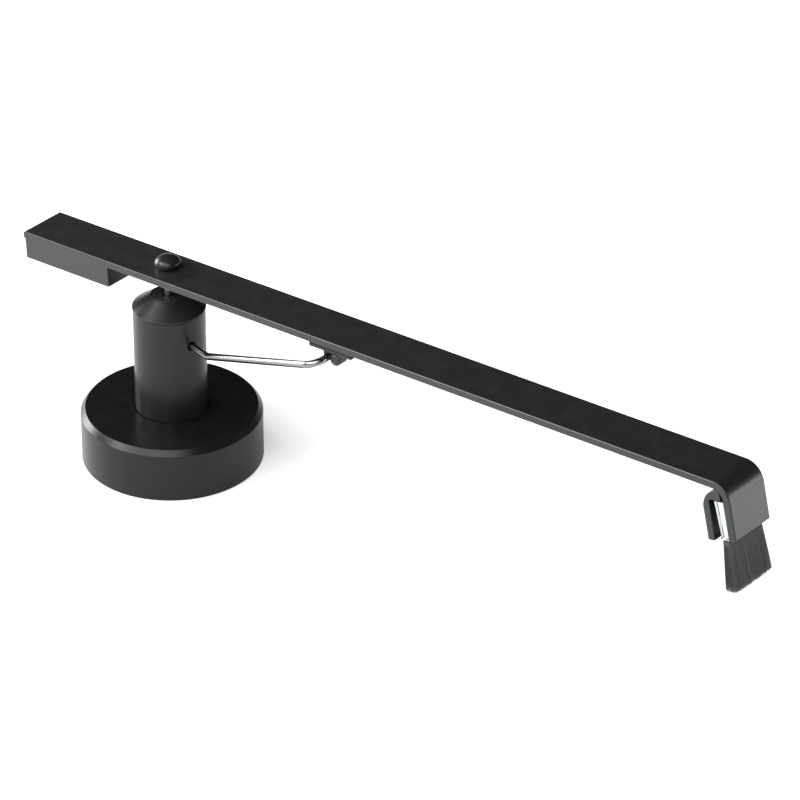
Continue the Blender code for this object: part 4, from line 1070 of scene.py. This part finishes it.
def make_brush_clip(finish):
    """Hooked clip whose leg stands behind the ferrule, with the hole of its screw."""
    form = plate(clip_outline(), BAR_WIDTH)
    break_edges(form, BAR_EDGE)
    item = piece("hooked_clip", form, finish)
    start = Vector((-CLIP_LEG_SPACE + CUT_OVERRUN, 0.0, FERRULE_HEIGHT / 2))
    bore(item, CLAMP_SCREW_RADIUS + SEAT_GAP, start, REARWARD, CLIP_THICKNESS + 2 * CUT_OVERRUN)
    place_and_shade(item, brush_place())
    belongs(item, "arm", "black_anodised", "brush_clip")


def ferrule_thickness(level):
    """Thickness of the ferrule at a height above its mouth."""
    share = level / FERRULE_HEIGHT
    return FERRULE_MOUTH_THICKNESS + (FERRULE_TOP_THICKNESS - FERRULE_MOUTH_THICKNESS) * share


def flat_ring(form, width, thickness, level, front, groove):
    """Ring of edges round a flat rounded shape, with a groove down each narrow end."""
    radius = thickness * FERRULE_CORNER_SHARE
    middle = front - thickness * (1 - FERRULE_GROOVE_SHARE)
    side = FERRULE_GROOVE_WIDTH / 2
    outline = [
        (front, -width / 2, radius),
        (front, width / 2, radius),
        (middle + side, width / 2, 0),
        (middle, width / 2 - groove, 0),
        (middle - side, width / 2, 0),
        (front - thickness, width / 2, radius),
        (front - thickness, -width / 2, radius),
        (middle - side, -width / 2, 0),
        (middle, groove - width / 2, 0),
        (middle + side, -width / 2, 0),
    ]
    corners = [form.verts.new((point.x, point.y, level)) for point in rounded(outline)]
    return [form.edges.new((corners[index - 1], corner)) for index, corner in enumerate(corners)]


def make_ferrule(chrome):
    """Flattened bright tube with a rolled lip, a groove down each narrow end and a thin wall."""
    lip = FERRULE_LIP_FLARE
    front = -SEAT_GAP - lip
    body = FERRULE_WIDTH - 2 * lip
    form = bmesh.new()
    levels = [
        (0.0, lip / 2),
        (FERRULE_LIP_HEIGHT / 4, lip),
        (FERRULE_LIP_HEIGHT * 3 / 4, lip),
        (FERRULE_LIP_HEIGHT, 0.0),
        (FERRULE_HEIGHT / 2, 0.0),
        (FERRULE_HEIGHT, 0.0),
    ]
    rings = []
    for level, flare in levels:
        groove = 0.0 if flare > 0 else FERRULE_GROOVE_DEPTH
        rings.append(flat_ring(
            form, body + 2 * flare, ferrule_thickness(level) + 2 * flare, level, front + flare, groove
        ))
    for lower, upper in zip(rings, rings[1:]):
        bmesh.ops.bridge_loops(form, edges=lower + upper)
    item = piece("chrome_ferrule", form, chrome)
    modify(item, "SOLIDIFY", thickness=FERRULE_WALL, offset=-1.0, use_even_offset=True)
    place_and_shade(item, brush_place())
    belongs(item, "arm", "chrome_plate", "brush_ferrule")


def bristle_root():
    """Middle, thickness and width of the bristles where they leave the ferrule."""
    inset = FERRULE_WALL + BRISTLE_ROOT_INSET
    width = FERRULE_WIDTH - 2 * FERRULE_LIP_FLARE - 2 * inset
    thickness = ferrule_thickness(FERRULE_LIP_HEIGHT) - 2 * inset
    return -SEAT_GAP - FERRULE_LIP_FLARE - inset - thickness / 2, thickness, width


def root_cells(form, middle, thickness, width):
    """Build the set root of the bristles and return the cells from which the strands grow."""
    grid = bmesh.ops.create_grid(form, x_segments=BRISTLE_ROWS, y_segments=BRISTLE_COLUMNS, size=0.5)
    bmesh.ops.scale(form, verts=grid["verts"], vec=(thickness, width, 1.0))
    bmesh.ops.translate(form, verts=grid["verts"], vec=(middle, 0.0, FERRULE_LIP_HEIGHT))
    cells = form.faces[:]
    raise_rim(form, BRISTLE_ROOT_LENGTH)
    bmesh.ops.contextual_create(form, geom=[edge for edge in form.edges if edge.is_boundary])
    pitch = min(thickness / BRISTLE_ROWS, width / BRISTLE_COLUMNS)
    bmesh.ops.inset_individual(form, faces=cells, thickness=pitch * STRAND_GAP_SHARE / 2)
    return cells


def strand_path(root, middle, thickness, width, draw):
    """Points from the root of a strand to its tip."""
    across = (root.x - middle) / thickness
    along = root.y / width
    edge = max(abs(2 * across), abs(2 * along))
    trim = STRAND_TRIM * draw.random() ** TRIM_POWER
    trim += CORNER_TRIM * (abs(2 * across) * abs(2 * along)) ** CORNER_POWER
    aside = draw.gauss(0.0, STRAND_WANDER) * (1 - edge)
    tip = Vector((
        middle + BRISTLE_TIP_SHIFT + across * BRISTLE_TIP_THICKNESS + aside,
        along * BRISTLE_TIP_WIDTH + draw.gauss(0.0, STRAND_WANDER) * (1 - edge),
        trim - BRISTLE_LENGTH,
    ))
    bow = Vector((draw.gauss(0.0, STRAND_BOW), draw.gauss(0.0, STRAND_BOW), 0.0)) * (1 - edge)
    points = []
    for step in range(BRISTLE_LEVELS + 1):
        share = step / BRISTLE_LEVELS
        points.append(root.lerp(tip, share) + bow * math.sin(math.pi * share))
    return points


def grow_strands(form, cells, paths, tones):
    """Extrude each cell along its own path, slimmer and lighter towards the tip."""
    tone_layer = form.verts.layers.float["strand_tone"]
    number_layer = form.faces.layers.int["strand_number"]
    for number, cell in enumerate(cells):
        cell[number_layer] = number
    faces = cells
    for step in range(1, BRISTLE_LEVELS + 1):
        faces = bmesh.ops.extrude_discrete_faces(form, faces=faces)["faces"]
        share = 1 - STRAND_TIP_SHARE * step / BRISTLE_LEVELS
        previous = 1 - STRAND_TIP_SHARE * (step - 1) / BRISTLE_LEVELS
        lightening = ROOT_TONE_SHARE + (1 - ROOT_TONE_SHARE) * step / BRISTLE_LEVELS
        for face in faces:
            number = face[number_layer]
            centre = face.calc_center_median()
            for corner in face.verts:
                corner.co = paths[number][step] + (corner.co - centre) * share / previous
                corner[tone_layer] = tones[number] * lightening


def make_bristles(hair):
    """Fine strands that fan out of their set root, bow a little and end unevenly."""
    draw = random.Random(HAIR_SEED)
    middle, thickness, width = bristle_root()
    form = bmesh.new()
    form.verts.layers.float.new("strand_tone")
    form.faces.layers.int.new("strand_number")
    cells = root_cells(form, middle, thickness, width)
    paths = []
    tones = []
    for cell in cells:
        paths.append(strand_path(cell.calc_center_median(), middle, thickness, width, draw))
        tones.append(draw.random() ** TONE_POWER)
    grow_strands(form, cells, paths, tones)
    item = piece("hair_bristles", form, hair)
    item.data.transform(brush_place())
    item.data.shade_smooth()
    belongs(item, "arm", "dark_hair", "brush_bristles")


def dress_cad_nodes(materials):
    """Give the hidden solids that stay their finishes."""
    for node, material in materials.items():
        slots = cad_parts[node].data.materials
        slots.clear()
        slots.append(material)


def make_screws(steel):
    """Welded copies of the screws and the ring nut with their edges broken."""
    for node, name, body in (
        ("height_lock_screw", "height_grub_screw", "base"),
        ("rest_lock_screw", "rest_grub_screw", "column"),
        ("brush_clamp_screw", "clamp_grub_screw", "arm"),
        ("pivot_ring_nut", "hexagon_nut", "arm"),
    ):
        belongs(dressed_copy(node, name, steel, FINE_EDGE), body, "blackened_steel", node)


def make_stage():
    """Round white floor with a low rim, which glows for the camera and in reflections."""
    material, tree, shader = new_material("stage_white")
    rays = add_node(tree, "ShaderNodeLightPath").outputs
    mirrored = math_node(tree, "MAXIMUM", rays["Is Glossy Ray"], rays["Is Transmission Ray"])
    mirrored = math_node(tree, "MULTIPLY", mirrored, MIRRORED_GLOW)
    seen = math_node(tree, "MULTIPLY", rays["Is Camera Ray"], FLOOR_GLOW)
    feed(tree, shader, {
        "Base Color": (*FLOOR_COLOUR, 1.0), "Roughness": 1.0, "Specular IOR Level": 0.0,
        "Emission Color": (1.0, 1.0, 1.0, 1.0),
        "Emission Strength": math_node(tree, "MAXIMUM", seen, mirrored),
    })
    form = bmesh.new()
    bmesh.ops.create_circle(form, cap_ends=True, segments=LARGE_ROUND_STEPS, radius=FLOOR_RADIUS)
    raise_rim(form, WALL_HEIGHT)
    floor = piece("stage_floor", form, material)


def make_world():
    """Dim even surroundings."""
    world = bpy.data.worlds.new("studio")
    world.use_nodes = True
    background = world.node_tree.nodes["Background"]
    feed(world.node_tree, background, {"Color": (*WORLD_COLOUR, 1.0), "Strength": 1.0})
    bpy.context.scene.world = world


def add_light(name, azimuth, elevation, size, radiance, target=LIGHT_TARGET, distance=LIGHT_DISTANCE):
    """Rectangular soft light that looks at a target from a direction given in degrees."""
    data = bpy.data.lights.new(name, "AREA")
    data.shape = "RECTANGLE"
    data.size, data.size_y = size
    data.color = LIGHT_TINT
    data.energy = radiance * math.pi * size[0] * size[1]
    item = new_object(name, data)
    bearing = math.radians(azimuth)
    rise = math.radians(elevation)
    way = Vector((
        math.cos(bearing) * math.cos(rise), math.sin(bearing) * math.cos(rise), math.sin(rise)
    ))
    item.location = target + way * distance
    item.rotation_euler = (-way).to_track_quat("-Z", "Y").to_euler()


def make_lights():
    """Soft boxes in front, at the edge and low at the left, a strip at the right, a card by the flap."""
    add_light("front_box", azimuth=272.0, elevation=46.0, size=(1.10, 0.70), radiance=4.2)
    add_light("edge_box", azimuth=224.0, elevation=40.0, size=(0.32, 0.32), radiance=13.0)
    add_light("left_box", azimuth=183.0, elevation=13.0, size=(0.45, 0.32), radiance=16.0)
    add_light("right_strip", azimuth=34.0, elevation=7.0, size=(0.60, 0.16), radiance=5.0)
    add_light(
        "flap_card", azimuth=42.6, elevation=-9.0, size=(0.16, 0.05), radiance=1.9, target=FLAP_TARGET,
        distance=CARD_DISTANCE,
    )


def make_camera():
    """Camera at the angle and distance of the photograph."""
    focal_pixels = CAMERA_LENS_MM / CAMERA_SENSOR_MM * IMAGE_SIZE
    aside = (BASE_CENTRE_PIXEL[0] - IMAGE_SIZE / 2) * CAMERA_DISTANCE / focal_pixels
    above = (IMAGE_SIZE / 2 - BASE_CENTRE_PIXEL[1]) * CAMERA_DISTANCE / focal_pixels
    turn = Matrix.Rotation(CAMERA_YAW, 3, "Z") @ Matrix.Rotation(math.radians(90.0) - CAMERA_PITCH, 3, "X")
    data = bpy.data.cameras.new("photo_camera")
    data.sensor_width = CAMERA_SENSOR_MM
    data.lens = CAMERA_LENS_MM
    data.clip_start = CAMERA_NEAR
    data.clip_end = CAMERA_FAR
    camera = new_object("photo_camera", data)
    camera.location = turn @ Vector((-aside, -above, CAMERA_DISTANCE))
    camera.rotation_mode = "QUATERNION"
    camera.rotation_quaternion = turn.to_quaternion()
    bpy.context.scene.camera = camera


def main():
    """Camera, stage, materials and every piece."""
    bpy.context.scene.view_settings.view_transform = "Standard"
    make_camera()
    make_world()
    make_lights()
    make_stage()
    blasted = blasted_black()
    lathe = turned_black()
    coat = coated_black()
    steel = polished_steel()
    dark = blackened_steel()
    chrome = chrome_plate()
    bronze = bearing_bronze()
    polymer = black_polymer("moulded_polymer", scale=3600.0, depth=0.000004)
    rough_polymer = black_polymer("grained_polymer", scale=1500.0, depth=0.00010)
    rubber = dark_rubber()
    foam = adhesive_foam()
    hair = dark_hair()
    make_foot_pad(rubber)
    make_base(coat)
    make_column(lathe)
    make_cap(lathe)
    make_upper_bush(polymer)
    make_wire(steel)
    make_spindle(steel)
    make_bar(blasted)
    make_dome_nut(lathe)
    make_counterweight(blasted)
    make_rest_pad(foam)
    make_rest_clip(rough_polymer)
    make_brush_clip(blasted)
    make_ferrule(chrome)
    make_bristles(hair)
    make_screws(dark)
    dress_cad_nodes({
        "lower_bush": bronze,
        "thrust_plug": bronze,
        "thrust_ball": steel,
        "cross_pin": steel,
        "spindle_clip": dark,
        "counterweight_tape": foam,
        "brush_core": polymer,
    })


main()
